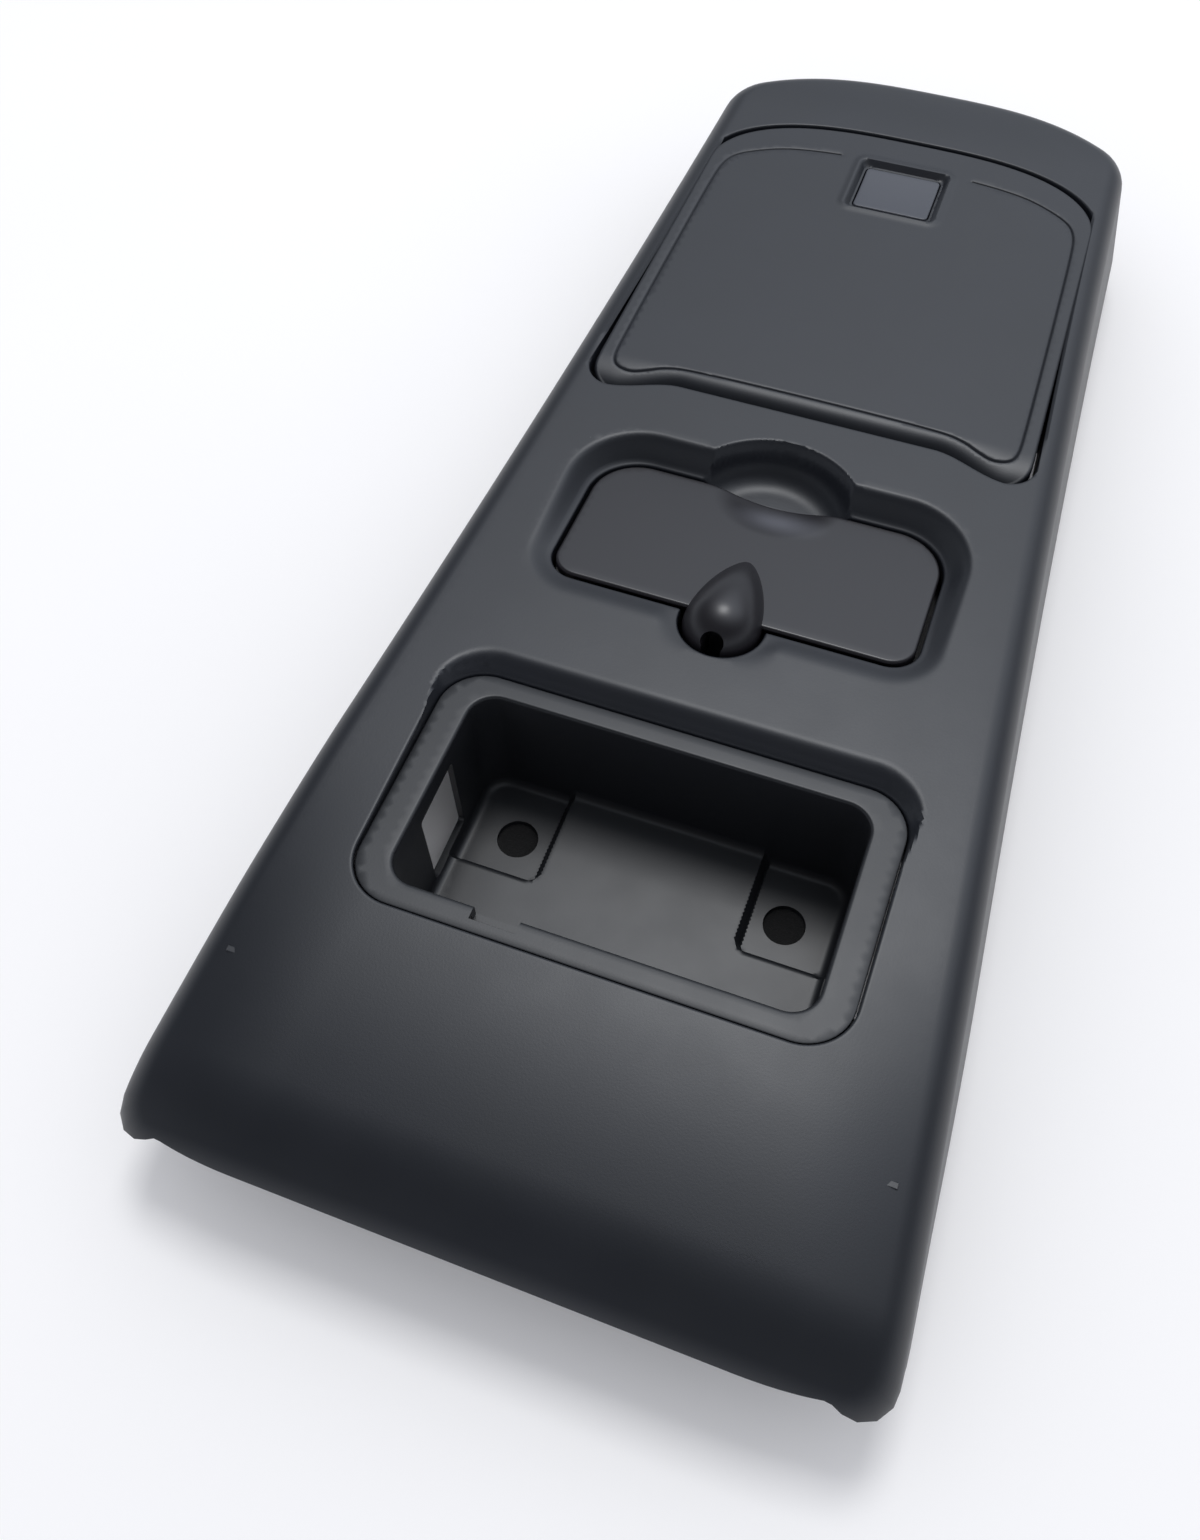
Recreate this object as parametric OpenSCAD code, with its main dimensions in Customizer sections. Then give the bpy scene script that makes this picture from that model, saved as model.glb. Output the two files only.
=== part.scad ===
/* [Housing] */
// Depth from the level part of the face to the back of the lamp pocket and the bin
depth = 60; // [58:0.5:64]
// Wall of the moulded housing
skin = 2.6; // [2:0.1:3]
// Half width of the housing where its narrow end starts to round off
narrow_half = 88.6; // [86:0.2:92]
// How much wider each side is at the wide end
flare = 24.6; // [20:0.2:28]
// Share of the flare that comes from the sides' slight outward curve
flare_curve = 0.33; // [0:0.01:0.6]
// Radius of the shoulder between the face and the side walls
shoulder_r = 10; // [7:0.5:12]
// Draft of the side walls
wall_draft = 10; // [6:0.5:12]
// Where the edge of the level face lies at the wide end
front_y = -260.3; // [-264:0.1:-256]
// Radius of the face's corners at the wide end, inside the shoulder
front_corner_r = 6; // [4:0.5:9]
// Where the sides of the face begin to round into the narrow end
end_y = 207; // [203:0.5:209]
// How far the narrow end bulges beyond there
end_bulge = 49.3; // [45:0.1:52]
// How far the face rolls down at the wide end
front_roll = 11; // [6:0.5:14]
// Where the face begins to roll down towards the wide end
front_roll_y = -172; // [-174:0.5:-165]
// How far the face rolls down at the narrow end
end_roll = 3; // [1:0.5:5]
// Where the face begins to roll down towards the narrow end
end_roll_y = 222; // [220:0.5:230]
// Fall of the face beside its level middle, near the wide end
side_roll = 4; // [2:0.5:6]
// Depth of the rim below the level face
rim_depth = 44; // [38:0.5:48]
// Depth of the two corner lobes at the wide end
lobe_depth = 29; // [27:0.5:32]
// Depth of the edge between the lobes
lip_depth = 20.5; // [19:0.5:23]

/* [Bin door] */
// Half width of the door at its hinged end
door_half = 83; // [81:0.2:83.5]
// How much narrower each side is at the latch end
door_taper = 3; // [2:0.2:4]
// Hinged edge of the door between its lobes
door_edge_y = 51.5; // [51:0.1:52.5]
// How far the door's two corner lobes reach past that edge
door_lobe = 7.5; // [5:0.1:8]
// Where the door's sides begin to round into its latch end
door_side_y = 184.4; // [180:0.2:186]
// How far the latch end bulges beyond there
door_bulge = 32.9; // [30:0.1:34]
// Gap around the door
door_gap = 1.4; // [1.2:0.1:1.8]
// Wall of the door's mouldings
door_skin = 2.4; // [2:0.1:2.6]
// Depth of the hinge axis below the face, and radius of the rolled edge
hinge_drop = 8; // [7.5:0.1:8.5]
// How far the door swings open
door_travel = 78; // [60:1:80]

/* [Release button] */
// Width of the button
button_w = 31; // [28:0.2:32]
// Length of the button
button_l = 25; // [22:0.2:26]
// Middle of the button along the housing
button_y = 185.3; // [184:0.1:187]
// How far the button goes down
button_travel = 2.5; // [2:0.1:2.8]
// How far the latch bolt draws back with it
bolt_travel = 4; // [3.5:0.1:4.5]

/* [Mirror] */
// Half width of the folding mirror
mirror_half = 63.6; // [62:0.1:65]
// Distance from the hinge axis to the mirror's far edge
mirror_reach = 63.2; // [61:0.1:64]
// Distance from the hinge axis to the mirror's near edge
mirror_near = 2.6; // [2.4:0.1:3.2]
// Place of the hinge axis along the housing
mirror_axis_y = -48; // [-48.5:0.1:-47.5]
// Depth of the hinge axis below the face
mirror_axis_drop = 4.4; // [4:0.1:5]
// Tilt of the closed mirror, its far edge deepest
mirror_tilt = 6; // [4:0.2:7]
// Thickness of the mirror's back cover
cover_t = 5.2; // [5:0.1:5.6]
// Height of the cover's face above the hinge axis
cover_rise = 3.2; // [3:0.1:3.4]
// Gap around the mirror
mirror_gap = 1.4; // [1.2:0.1:1.8]
// Radius of the pod over the hinge
pod_r = 13.4; // [13:0.1:14]
// Distance from the hinge axis to the pod's tip
pod_reach = 33; // [30:0.5:36]
// Width of the soft wall of the recess around the mirror
dish_wall = 8; // [6:0.5:9]
// Radius of the finger scoop at the face
scoop_r = 34; // [32:0.5:36]
// Middle of the finger scoop along the housing
scoop_y = 1.7; // [0:0.1:3]
// Depth of the finger scoop
scoop_depth = 15; // [13:0.5:16]

/* [Lamp pocket] */
// Width of the pocket's mouth
pocket_w = 134; // [130:0.5:136]
// Length of the pocket's mouth
pocket_l = 73; // [70:0.5:74]
// Middle of the pocket along the housing
pocket_y = -135.3; // [-136:0.1:-134]
// Corner radius of the pocket's mouth
pocket_r = 9; // [6:0.5:11]
// Width of the flat ledge around the mouth at the sides
ledge_w = 10.5; // [9:0.5:11.5]
// Tilt of the ledge, deepest towards the narrow end
ledge_tilt = 2.6; // [1.5:0.1:3.2]
// Depth of the ledge at the wide end
ledge_drop = 1; // [0.6:0.1:1.6]
// Wall of the pocket
pocket_skin = 2.2; // [1.8:0.1:2.6]
// Diameter of the two fixing holes in the pocket's floor
fixing_hole_d = 14.5; // [12:0.1:15]
// Distance between the two fixing holes
fixing_spacing = 97; // [94:0.5:99]

/* [Fixings] */
// Thread diameter of the tapping screws
screw_d = 3.5; // [3:0.1:4]
// Clearance hole for a tapping screw
screw_clear_d = 4.2; // [4:0.1:4.6]
// Outer diameter of the screw bosses
boss_d = 8.4; // [8:0.2:9]
// Diameter of the door's hinge pins
pin_d = 4; // [3.6:0.1:4.4]
// Diameter of the mirror's hinge pin
mirror_pin_d = 3; // [2.8:0.1:3.4]
// Radial clearance of a turning pin
pin_clear = 0.05; // [0.03:0.01:0.08]

/* [Hidden] */
$fn = 48;

face_z = depth;
axis_z = face_z - hinge_drop;
hinge_y = door_edge_y + hinge_drop;
mirror_axis_z = face_z - mirror_axis_drop;
charcoal = [0.17, 0.175, 0.19];
inner_black = [0.09, 0.09, 0.1];
warm_black = [0.15, 0.145, 0.15];
button_grey = [0.42, 0.43, 0.46];
steel = [0.72, 0.73, 0.75];
rubber = [0.06, 0.06, 0.065];
felt = [0.12, 0.12, 0.13];
silver = [0.85, 0.87, 0.9];

// Samples of a half from its middle to its edge, closer together at the edge
function edge_steps(n) = [for (i = [0 : n]) sin(90 * i / n)];
// The same on both sides of the middle
function both_sides(half) = concat([for (i = [len(half) - 1 : -1 : 1]) -half[i]], half);
function blend(a, b, s) = a + (b - a) * s;
function clamp01(s) = max(0, min(1, s));
function smooth(s) = let (c = clamp01(s)) c * c * (3 - 2 * c);
// Rise of a quarter circle of radius r over its last stretch before the edge
function corner_rise(x, half, r) = r * (1 - sqrt(max(0, 1 - pow(clamp01((abs(x) - half + r) / r), 2))));
// Perimeter of a sheet of columns by rows, anticlockwise, as [column, row]
function rim_cells(c, r) = concat(
    [for (i = [0 : c - 1]) [i, 0]],
    [for (j = [1 : r - 1]) [c - 1, j]],
    [for (i = [c - 2 : -1 : 0]) [i, r - 1]],
    [for (j = [r - 2 : -1 : 1]) [0, j]]
);
// Perimeter points of a sheet moved outwards by a distance
function rim_points(at, us, vs, out) =
    let (
        cells = rim_cells(len(us), len(vs)),
        n = len(cells),
        p = [for (c = cells) at(us[c[0]], vs[c[1]])]
    )
    [for (i = [0 : n - 1])
        let (
            a = p[(i + n - 1) % n],
            b = p[(i + 1) % n],
            t = (b - a) / norm(b - a)
        )
        p[i] + out * [t[1], -t[0]]
    ];

// A closed body under a sheet: at(u, v) gives a place in plan, height(p) its height, edge_z(p, k)
// the height of ring k, which lies outs[k] outside the sheet, and the last ring closes it below
module sheet_body(at, us, vs, height, outs, edge_z) {
    c = len(us);
    r = len(vs);
    cells = rim_cells(c, r);
    n = len(cells);
    base = rim_points(at, us, vs, 0);
    top = [for (v = vs) for (u = us) let (p = at(u, v)) [p[0], p[1], height(p)]];
    rings = [for (k = [0 : len(outs) - 1])
        let (q = rim_points(at, us, vs, outs[k]))
        for (i = [0 : n - 1]) [q[i][0], q[i][1], edge_z(base[i], k)]
    ];
    first = [for (cell = cells) cell[1] * c + cell[0]];
    function ring(k, i) = k < 0 ? first[i % n] : c * r + k * n + i % n;
    sheet = [for (j = [0 : r - 2]) for (i = [0 : c - 2])
        let (a = j * c + i)
        each [[a, a + c, a + c + 1], [a, a + c + 1, a + 1]]
    ];
    sides = [for (k = [-1 : len(outs) - 2]) for (i = [0 : n - 1])
        each [
            [ring(k, i), ring(k, i + 1), ring(k + 1, i + 1)],
            [ring(k, i), ring(k + 1, i + 1), ring(k + 1, i)]
        ]
    ];
    under = [[for (i = [n - 1 : -1 : 0]) ring(len(outs) - 1, n - 1 - i)]];
    polyhedron(concat(top, rings), concat(sheet, sides, under), convexity = 8);
}

// A flat block with rounded corners, standing on z
module rounded_block(w, l, h, r) {
    linear_extrude(h) {
        square([w - 2 * r, l], center = true);
        square([w, l - 2 * r], center = true);
        for (x = [-1, 1], y = [-1, 1]) {
            translate([x * (w / 2 - r), y * (l / 2 - r)]) circle(r);
        }
    }
}

module block(from, to) {
    translate(from) cube(to - from);
}

module x_rod(d, from, to) {
    translate([from, 0, 0]) rotate([0, 90, 0]) cylinder(d = d, h = to - from);
}

// The housing's face

function half_w(y) =
    let (t = (184.4 - y) / 392)
    narrow_half + flare * ((1 - flare_curve) * t + flare_curve * t * t);
face_us = both_sides(edge_steps(9));
face_vs = [0, 0.02, 0.05, 0.085, 0.12, 0.17, 0.3, 0.5, 0.7, 0.88, 0.95, 1];

function face_front(u) =
    let (half = half_w(front_y) - shoulder_r)
    front_y + corner_rise(u * half, half, front_corner_r);
function face_end(u) = end_y + end_bulge * pow(1 - pow(abs(u), 2.6), 0.55);
function face_place(u, v) =
    let (y = blend(face_front(u), face_end(u), v))
    [u * (half_w(y) - shoulder_r), y];
function face_height(p) =
    let (
        f = max(0, front_roll_y - p[1]) / (front_roll_y - front_y),
        e = max(0, p[1] - end_roll_y) / (end_y + end_bulge - end_roll_y),
        half = half_w(p[1]) - shoulder_r,
        s = max(0, abs(p[0]) - half + 34) / 34
    )
    face_z - front_roll * f * f - end_roll * e * e - side_roll * s * s * smooth((-120 - p[1]) / 110);

// The whole housing as a solid, or the space inside it, moved in by the wall
module housing_solid(wall) {
    arcs = wall > 0 ? 2 : 4;
    arc = [for (i = [1 : arcs]) (90 - wall_draft) * i / arcs];
    r = shoulder_r - wall;
    bottom_z = face_z - rim_depth - (wall > 0 ? 1 : 0);
    foot_fall = r * (1 - cos(90 - wall_draft)) + wall;
    drop = [for (a = arc) wall + r * (1 - cos(a))];
    out = [for (a = arc) r * sin(a)];
    foot_out = out[arcs - 1] + (rim_depth - foot_fall - 3) * tan(wall_draft);
    sheet_body(
        function(u, v) face_place(u, v), face_us, face_vs,
        function(p) face_height(p) - wall,
        concat(out, [foot_out]),
        function(p, k) k < arcs ? face_height(p) - drop[k] : bottom_z
    );
}

// What is cut from the rim: the bow between the lobes and the rise towards the wide end
module rim_cut() {
    bow_half = half_w(front_y) - 19;
    lobe_half = half_w(front_y) - 7;
    steps = 8;
    bow = [for (i = [0 : steps])
        [blend(bow_half, lobe_half, i / steps), -blend(lip_depth, lobe_depth, smooth(i / steps))]
    ];
    translate([0, front_y + 12, face_z])
        rotate([90, 0, 0])
        linear_extrude(60)
        polygon(concat(
            bow,
            [[lobe_half, -rim_depth - 5], [-lobe_half, -rim_depth - 5]],
            [for (i = [steps : -1 : 0]) [-bow[i][0], bow[i][1]]]
        ));
    side = [for (i = [0 : 10])
        let (y = blend(rim_rise_y[0], rim_rise_y[1], i / 10))
        [y, -rim_at(y)]
    ];
    translate([-200, 0, face_z])
        rotate([90, 0, 90])
        linear_extrude(400)
        polygon(concat(
            [[front_y - 40, -lobe_depth]],
            side,
            [[front_y + 121, -rim_depth - 5], [front_y - 40, -rim_depth - 5]]
        ));
}

// The door's outline

function door_half_at(y) = door_half - door_taper * (y - hinge_y) / (door_side_y - hinge_y);
function door_lobe_at(x) = smooth((abs(x) - 60) / 10);
function door_front(x, g) =
    door_edge_y - door_lobe * door_lobe_at(x) + g + corner_rise(x, door_half - g, 9);
function door_place(u, v, g) =
    let (
        x = u * (door_half - g),
        y = blend(door_front(x, g), door_side_y - g + door_bulge * sqrt(1 - pow(abs(u), 3)), v)
    )
    [u * (door_half_at(y) - g), y];
function door_height(p, wall) =
    let (
        s = door_lobe_at(p[0]),
        reach = blend(hinge_drop, hinge_drop + door_lobe, s) - wall,
        rise = blend(hinge_drop, hinge_drop - 1, s) - wall,
        dy = clamp01((hinge_y - p[1]) / reach)
    )
    axis_z + blend(0, 1, s) + rise * sqrt(1 - dy * dy);
door_us = both_sides([0, 0.18, 0.36, 0.52, 0.62, 0.68, 0.73, 0.78, 0.83, 0.89, 0.94, 0.975, 0.993, 1]);
door_vs = [0, 0.003, 0.009, 0.018, 0.03, 0.045, 0.07, 0.1, 0.4, 0.7, 0.85, 0.95, 1];
door_edge_r = 1.2;
skirt_depth = 12;

module door_solid(wall) {
    r = door_edge_r;
    bottom_z = face_z - skirt_depth - (wall > 0 ? 1 : 0);
    sheet_body(
        function(u, v) door_place(u, v, r + wall), door_us, door_vs,
        function(p) door_height(p, wall),
        wall > 0 ? [0.01] : [0.5 * r, 0.87 * r, r, r + 0.01],
        function(p, k) wall > 0 || k > 2
            ? bottom_z
            : min(door_height(p, 0) - r * [0.13, 0.5, 1][k], face_z - r * [0.13, 0.5, 1][k])
    );
}

// The door's outline in plan, moved out by a distance
module door_plan(out) {
    polygon(rim_points(function(u, v) door_place(u, v, 0), door_us, door_vs, out));
}

// The mirror's outline

function mirror_front(x) =
    mirror_near + corner_rise(x, mirror_half, 9);
function mirror_far(x) =
    mirror_reach - corner_rise(x, mirror_half, 18);
function mirror_place(u, v) =
    [u * mirror_half, blend(mirror_front(u * mirror_half), mirror_far(u * mirror_half), v)];
mirror_us = both_sides([0, 0.72, 0.82, 0.9, 0.96, 0.99, 1]);
mirror_vs = [0, 0.5, 1];

module mirror_plan(out) {
    polygon(rim_points(function(u, v) mirror_place(u, v), mirror_us, mirror_vs, out));
}

// Children drawn with the hinge axis on X and the closed mirror lying level
module on_mirror_axis() {
    translate([0, mirror_axis_y, mirror_axis_z]) rotate([-mirror_tilt, 0, 0]) children();
}

// Height of the recess floor around the mirror
function dish_floor(p) =
    mirror_axis_z + cover_rise - 0.5 - (p[1] - mirror_axis_y) * tan(mirror_tilt);

// The recess around the mirror: its floor, and its soft wall up to the face
module dish(wall) {
    // Columns that keep clear of the other bodies' columns
    us = wall > 0 ? both_sides([0, 0.7, 0.85, 0.95, 1]) : both_sides([0, 0.74, 0.83, 0.91, 0.965, 0.992, 1]);
    steps = wall > 0 ? [0, 1] : [0, 0.2, 0.5, 0.8, 1];
    last = len(steps) - 1;
    outs = [for (s = steps) 2 + dish_wall * s + wall];
    rise = [for (s = steps) smooth(0.1 + 0.9 * s)];
    top_z = wall > 0 ? face_z - 1 : face_z + 2;
    // A sheet body hangs below its sheet, so the recess is made upside down and turned over
    mirror([0, 0, 1])
        sheet_body(
            function(u, v) mirror_place(u, v) + [0, mirror_axis_y], us, mirror_vs,
            function(p) wall - dish_floor(p),
            concat(outs, [outs[last] + 0.01]),
            function(p, k) k > last
                ? -top_z
                : wall - blend(dish_floor(p), face_z + 0.4, rise[k])
        );
}

// The finger scoop beyond the mirror's far edge
module scoop(wall) {
    top_z = wall > 0 ? -1.2 : 2;
    translate([0, scoop_y, face_z])
        rotate_extrude($fn = 96)
        polygon(concat(
            [[0, top_z], [0, -scoop_depth - wall]],
            [for (a = [0 : 15 : 90])
                [scoop_r - 12 + 10 * sin(a) + wall, -scoop_depth - wall + 11 * (1 - cos(a))]
            ],
            [[scoop_r - 0.4 + wall, -1.2], [scoop_r + 1.6 + wall, top_z]]
        ));
}

// The round notch in the housing that the hinge pod sits in
module pod_notch(r, from_z, to_z) {
    translate([0, mirror_axis_y, from_z]) cylinder(r = r, h = to_z - from_z, $fn = 96);
}

// The lamp pocket's place

ledge_out_w = pocket_w + 2 * ledge_w + 2;
ledge_out_l = pocket_l + 17;
ledge_mid_y = pocket_y - 0.4;
function ledge_z(y) =
    face_z - ledge_drop - (y - (ledge_mid_y - ledge_out_l / 2)) * tan(ledge_tilt);
// Children drawn with the ledge's face level at z 0 and its middle at the origin
module on_ledge() {
    translate([0, ledge_mid_y, ledge_z(ledge_mid_y)]) rotate([-ledge_tilt, 0, 0]) children();
}

// The well in the face that the ledge lies in, with a sloped wall towards the narrow end
module ledge_well(wall) {
    low_z = -8 - wall;
    on_ledge() {
        translate([0, 0, low_z]) rounded_block(
            ledge_out_w + 2 * wall, ledge_out_l + 2 * wall, (wall > 0 ? 8 : 12) + wall, 16
        );
    }
    slope_run = 7;
    y = ledge_mid_y + ledge_out_l / 2;
    if (wall == 0) {
        // The way through for the pocket
        translate([0, pocket_y, face_z - 30])
            rounded_block(
                pocket_w + 2 * pocket_skin + 0.8, pocket_l + 2 * pocket_skin + 0.8,
                40, pocket_r + pocket_skin + 0.4
            );
        hull() {
            translate([0, ledge_mid_y, face_z + 0.6])
                translate([0, slope_run / 2, 0])
                rounded_block(ledge_out_w, ledge_out_l + slope_run, 0.1, 18);
            translate([0, ledge_mid_y, ledge_z(y) + 0.4])
                rounded_block(ledge_out_w, ledge_out_l, 0.1, 16);
        }
    } else {
        translate([0, ledge_mid_y + slope_run / 2, ledge_z(y) - wall])
            rounded_block(
                ledge_out_w + 2 * wall, ledge_out_l + slope_run + 2 * wall,
                face_z - 1 - ledge_z(y) + wall, 16
            );
    }
}

// Screw places

bin_bosses = [[-50, 37.5], [50, 37.5], [-56, 226], [56, 226]];
pocket_bosses = [[-92, -166], [92, -166], [-92, -98], [92, -98]];
case_bosses = [[-82, -28], [82, -28], [-80, 22], [80, 22]];
striker_bosses = [[-14, 236], [14, 236]];
flange_t = 2;
bin_flange_z = face_z - 18;
pocket_flange_z = face_z - 20;
case_flange_z = face_z - 19;
striker_t = 1.2;
striker_z = face_z - 6;
screw_l = 9;

module boss(p, seat_z) {
    difference() {
        translate([p[0], p[1], seat_z]) cylinder(d = boss_d, h = face_height(p) - 1.2 - seat_z);
        translate([p[0], p[1], seat_z - 1])
            cylinder(d = screw_d - 0.5, h = min(screw_l + 1, face_height(p) - 2.5 - seat_z));
    }
}

// A pan-head tapping screw, driven upwards through a plate into a boss
module screw(p, seat_z, plate_t, l) {
    translate([p[0], p[1], seat_z - plate_t]) {
        difference() {
            translate([0, 0, -2.2]) cylinder(d = 7, h = 2.2);
            for (a = [0, 90]) {
                rotate(a) translate([-2, -0.4, -2.3]) cube([4, 0.8, 1.3]);
            }
        }
        cylinder(d = screw_d - 0.5, h = plate_t + l);
    }
}

// A block given by its nearest and farthest distance from the middle plane, on side s
module side_block(s, x, y, z) {
    block([min(s * x[0], s * x[1]), y[0], z[0]], [max(s * x[0], s * x[1]), y[1], z[1]]);
}

// Depth of the rim along the side walls
rim_rise_y = [front_y + 30, front_y + 120];
function rim_at(y) = blend(lobe_depth, rim_depth, smooth((y - rim_rise_y[0]) / (rim_rise_y[1] - rim_rise_y[0])));

clip_places = [for (y = [-200, -55]) for (s = [-1, 1]) [s, y]];
function clip_x(y) = half_w(y) - 17;

// The tower beside the side wall that carries a retaining clip
module clip_tower(s, y) {
    x = clip_x(y);
    z = [face_z - rim_at(y) + 6, face_height([x, y]) - 1.4];
    for (k = [-1, 1]) {
        side_block(s, [x - 1, x + 6], [y + k * 8 - 1, y + k * 8 + 1], z);
    }
    side_block(s, [x - 1, x + 1], [y - 9, y + 9], z);
}

// The curved walls of the moulding with their openings
module moulded_walls() {
    difference() {
        union() {
            difference() {
                housing_solid(0);
                housing_solid(skin);
            }
            dish(2.2);
            scoop(2.2);
            ledge_well(2.2);
            pod_notch(pod_r + mirror_gap + 2.2, face_z - 12, face_z - 1.3);
            translate([0, 0, face_z - 6]) linear_extrude(5) door_plan(door_gap + 2.2);
        }
        rim_cut();
        dish(0);
        scoop(0);
        ledge_well(0);
        translate([0, 0, face_z - 30]) linear_extrude(40) door_plan(door_gap);
        on_mirror_axis() translate([0, 0, -30]) linear_extrude(50) mirror_plan(mirror_gap);
        pod_notch(pod_r + mirror_gap, face_z - 30, face_z + 2);
    }
}

module console_shell() {
    color(charcoal) {
        // A resize to nothing keeps the size and joins the curved walls into one surface
        resize([0, 0, 0]) moulded_walls();
        for (p = bin_bosses) boss(p, bin_flange_z);
        for (p = pocket_bosses) boss(p, pocket_flange_z);
        for (p = case_bosses) boss(p, case_flange_z);
        for (p = striker_bosses) boss(p, striker_z);
        for (c = clip_places) clip_tower(c[0], c[1]);
    }
}

// A plate that a screw holds, with a round end at the screw and a clearance hole
module ear(p, inner_x, z, w) {
    difference() {
        union() {
            translate([p[0], p[1], z]) cylinder(d = w, h = flange_t);
            block([min(p[0], inner_x), p[1] - w / 2, z], [max(p[0], inner_x), p[1] + w / 2, z + flange_t]);
        }
        translate([p[0], p[1], z - 1]) cylinder(d = screw_clear_d, h = flange_t + 2);
    }
}

// The lamp pocket, a tub with a flat ledge around its mouth

floor_rise = 5;
well_half = 34.5;
well_near_y = -137;
well_slope = 3;
window_y = [-147, -123];
window_z = [9, face_z - 12];
fixing_y = -120.5;
pocket_low = pocket_skin + 0.2;

// The sunken square in each far corner of the pocket's floor, with sloped sides
module corner_well(s) {
    x_far = pocket_w / 2 - 1;
    hull() {
        side_block(s, [well_half + well_slope, x_far],
                   [well_near_y + well_slope + 2, -105], [pocket_low, pocket_low + 0.01]);
        side_block(s, [well_half, x_far], [well_near_y, -102],
                   [pocket_low + floor_rise, pocket_low + floor_rise + 0.01]);
    }
}

module lamp_pocket() {
    far_wall_y = pocket_y + pocket_l / 2;
    near_wall_y = pocket_y - pocket_l / 2;
    color(inner_black)
    difference() {
        union() {
            on_ledge() {
                translate([0, 0, -2.4])
                    rounded_block(ledge_out_w - 0.8, ledge_out_l - 0.8, 2.4, 15.6);
            }
            difference() {
                translate([0, pocket_y, 0])
                    rounded_block(
                        pocket_w + 2 * pocket_skin, pocket_l + 2 * pocket_skin,
                        face_z - 2, pocket_r + pocket_skin
                    );
                on_ledge() translate([0, 0, 9]) cube([300, 200, 20], center = true);
            }
            for (p = pocket_bosses) ear(p, sign(p[0]) * pocket_w / 2, pocket_flange_z - flange_t, 12);
        }
        translate([0, pocket_y, pocket_low + floor_rise])
            rounded_block(pocket_w, pocket_l, depth, pocket_r);
        // The underside of the raised floor
        block([-well_half + 2, near_wall_y + 1, -1], [well_half - 2, far_wall_y - 1, floor_rise]);
        block([-pocket_w / 2 + 1, near_wall_y + 1, -1],
              [pocket_w / 2 - 1, well_near_y - 2, floor_rise]);
        for (s = [-1, 1]) {
            corner_well(s);
            translate([s * fixing_spacing / 2, fixing_y, -1]) cylinder(d = fixing_hole_d, h = 8);
            // The tall window in the side wall
            side_block(s, [pocket_w / 2 - 2, pocket_w / 2 + 6], window_y, window_z);
        }
        // The notch in the ledge's near side where a lamp's clip hooks in
        block([-37, near_wall_y - 4.5, face_z - 7], [-22, near_wall_y + 1, face_z + 2]);
    }
}
// The storage bin behind the door

bin_half = 72;
bin_near_y = 66.5;
bin_far_y = 206;
bin_skin = 2.2;
bin_corner_r = 10;
ear_in = 57.6;
ear_out = 60.6;

module bin_housing() {
    mid_y = (bin_near_y + bin_far_y) / 2;
    l = bin_far_y - bin_near_y;
    color(inner_black)
    difference() {
        union() {
            translate([0, mid_y, 0]) rounded_block(2 * bin_half, l, bin_flange_z, bin_corner_r);
            // The rim under the door's edge
            difference() {
                translate([0, mid_y + 1, bin_flange_z - flange_t])
                    rounded_block(168, l + 2, flange_t, 14);
                block([-100, bin_near_y - 40, 0], [100, bin_near_y + 14, depth]);
            }
            for (p = bin_bosses) {
                wall_y = p[1] < mid_y ? bin_near_y + 1 : bin_far_y - 1;
                translate([p[0], p[1], bin_flange_z - flange_t]) cylinder(d = 12, h = flange_t);
                block([p[0] - 6, min(p[1], wall_y), bin_flange_z - flange_t],
                      [p[0] + 6, max(p[1], wall_y), bin_flange_z]);
            }
            for (s = [-1, 1]) hinge_ear(s);
        }
        translate([0, mid_y, bin_skin])
            rounded_block(2 * (bin_half - bin_skin), l - 2 * bin_skin, depth, bin_corner_r - bin_skin);
        for (p = bin_bosses) {
            translate([p[0], p[1], bin_flange_z - 5]) cylinder(d = screw_clear_d, h = 10);
        }
        translate([0, hinge_y, axis_z]) x_rod(pin_d, -70, 70);
        for (p = stop_places) {
            translate([p[0], p[1], bin_flange_z - flange_t - 1]) cylinder(d = 3, h = flange_t + 2);
        }
    }
}

// One ear: an eye around the hinge axis on a stem that leans back to the bin's near wall
module hinge_ear(s) {
    x0 = min(s * ear_in, s * ear_out);
    x1 = max(s * ear_in, s * ear_out);
    translate([0, hinge_y, axis_z]) x_rod(8.4, x0, x1);
    stem_top = 2.4;
    translate([x0, 0, 0])
        rotate([90, 0, 90])
        linear_extrude(x1 - x0)
        polygon([
            [hinge_y - stem_top, axis_z - 3.2],
            [hinge_y + 3.2, axis_z + stem_top],
            [bin_near_y + bin_skin, axis_z - 6],
            [bin_near_y + bin_skin, axis_z - 16],
            [bin_near_y + 0.1, axis_z - 16]
        ]);
}

module bin_mat() {
    color(felt)
    translate([0, (bin_near_y + bin_far_y) / 2, bin_skin])
        rounded_block(
            2 * (bin_half - bin_skin) - 1, bin_far_y - bin_near_y - 2 * bin_skin - 1, 1.5,
            bin_corner_r - bin_skin - 0.5
        );
}

stop_places = [for (y = [110, 186]) for (s = [-1, 1]) [s * (door_half_at(y) - 1.4), y]];

// Rubber stops on the bin's rim that the closed door's edge rests on
module bump_stops() {
    color(rubber)
    for (p = stop_places) {
        translate([p[0], p[1], bin_flange_z - flange_t - 1.2]) cylinder(d = 2.8, h = flange_t + 2);
        translate([p[0], p[1], bin_flange_z])
            cylinder(d = 5, h = face_z - skirt_depth - 0.2 - bin_flange_z);
        translate([p[0], p[1], bin_flange_z - flange_t - 2.2]) cylinder(d = 4.2, h = 2.2);
    }
}

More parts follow.
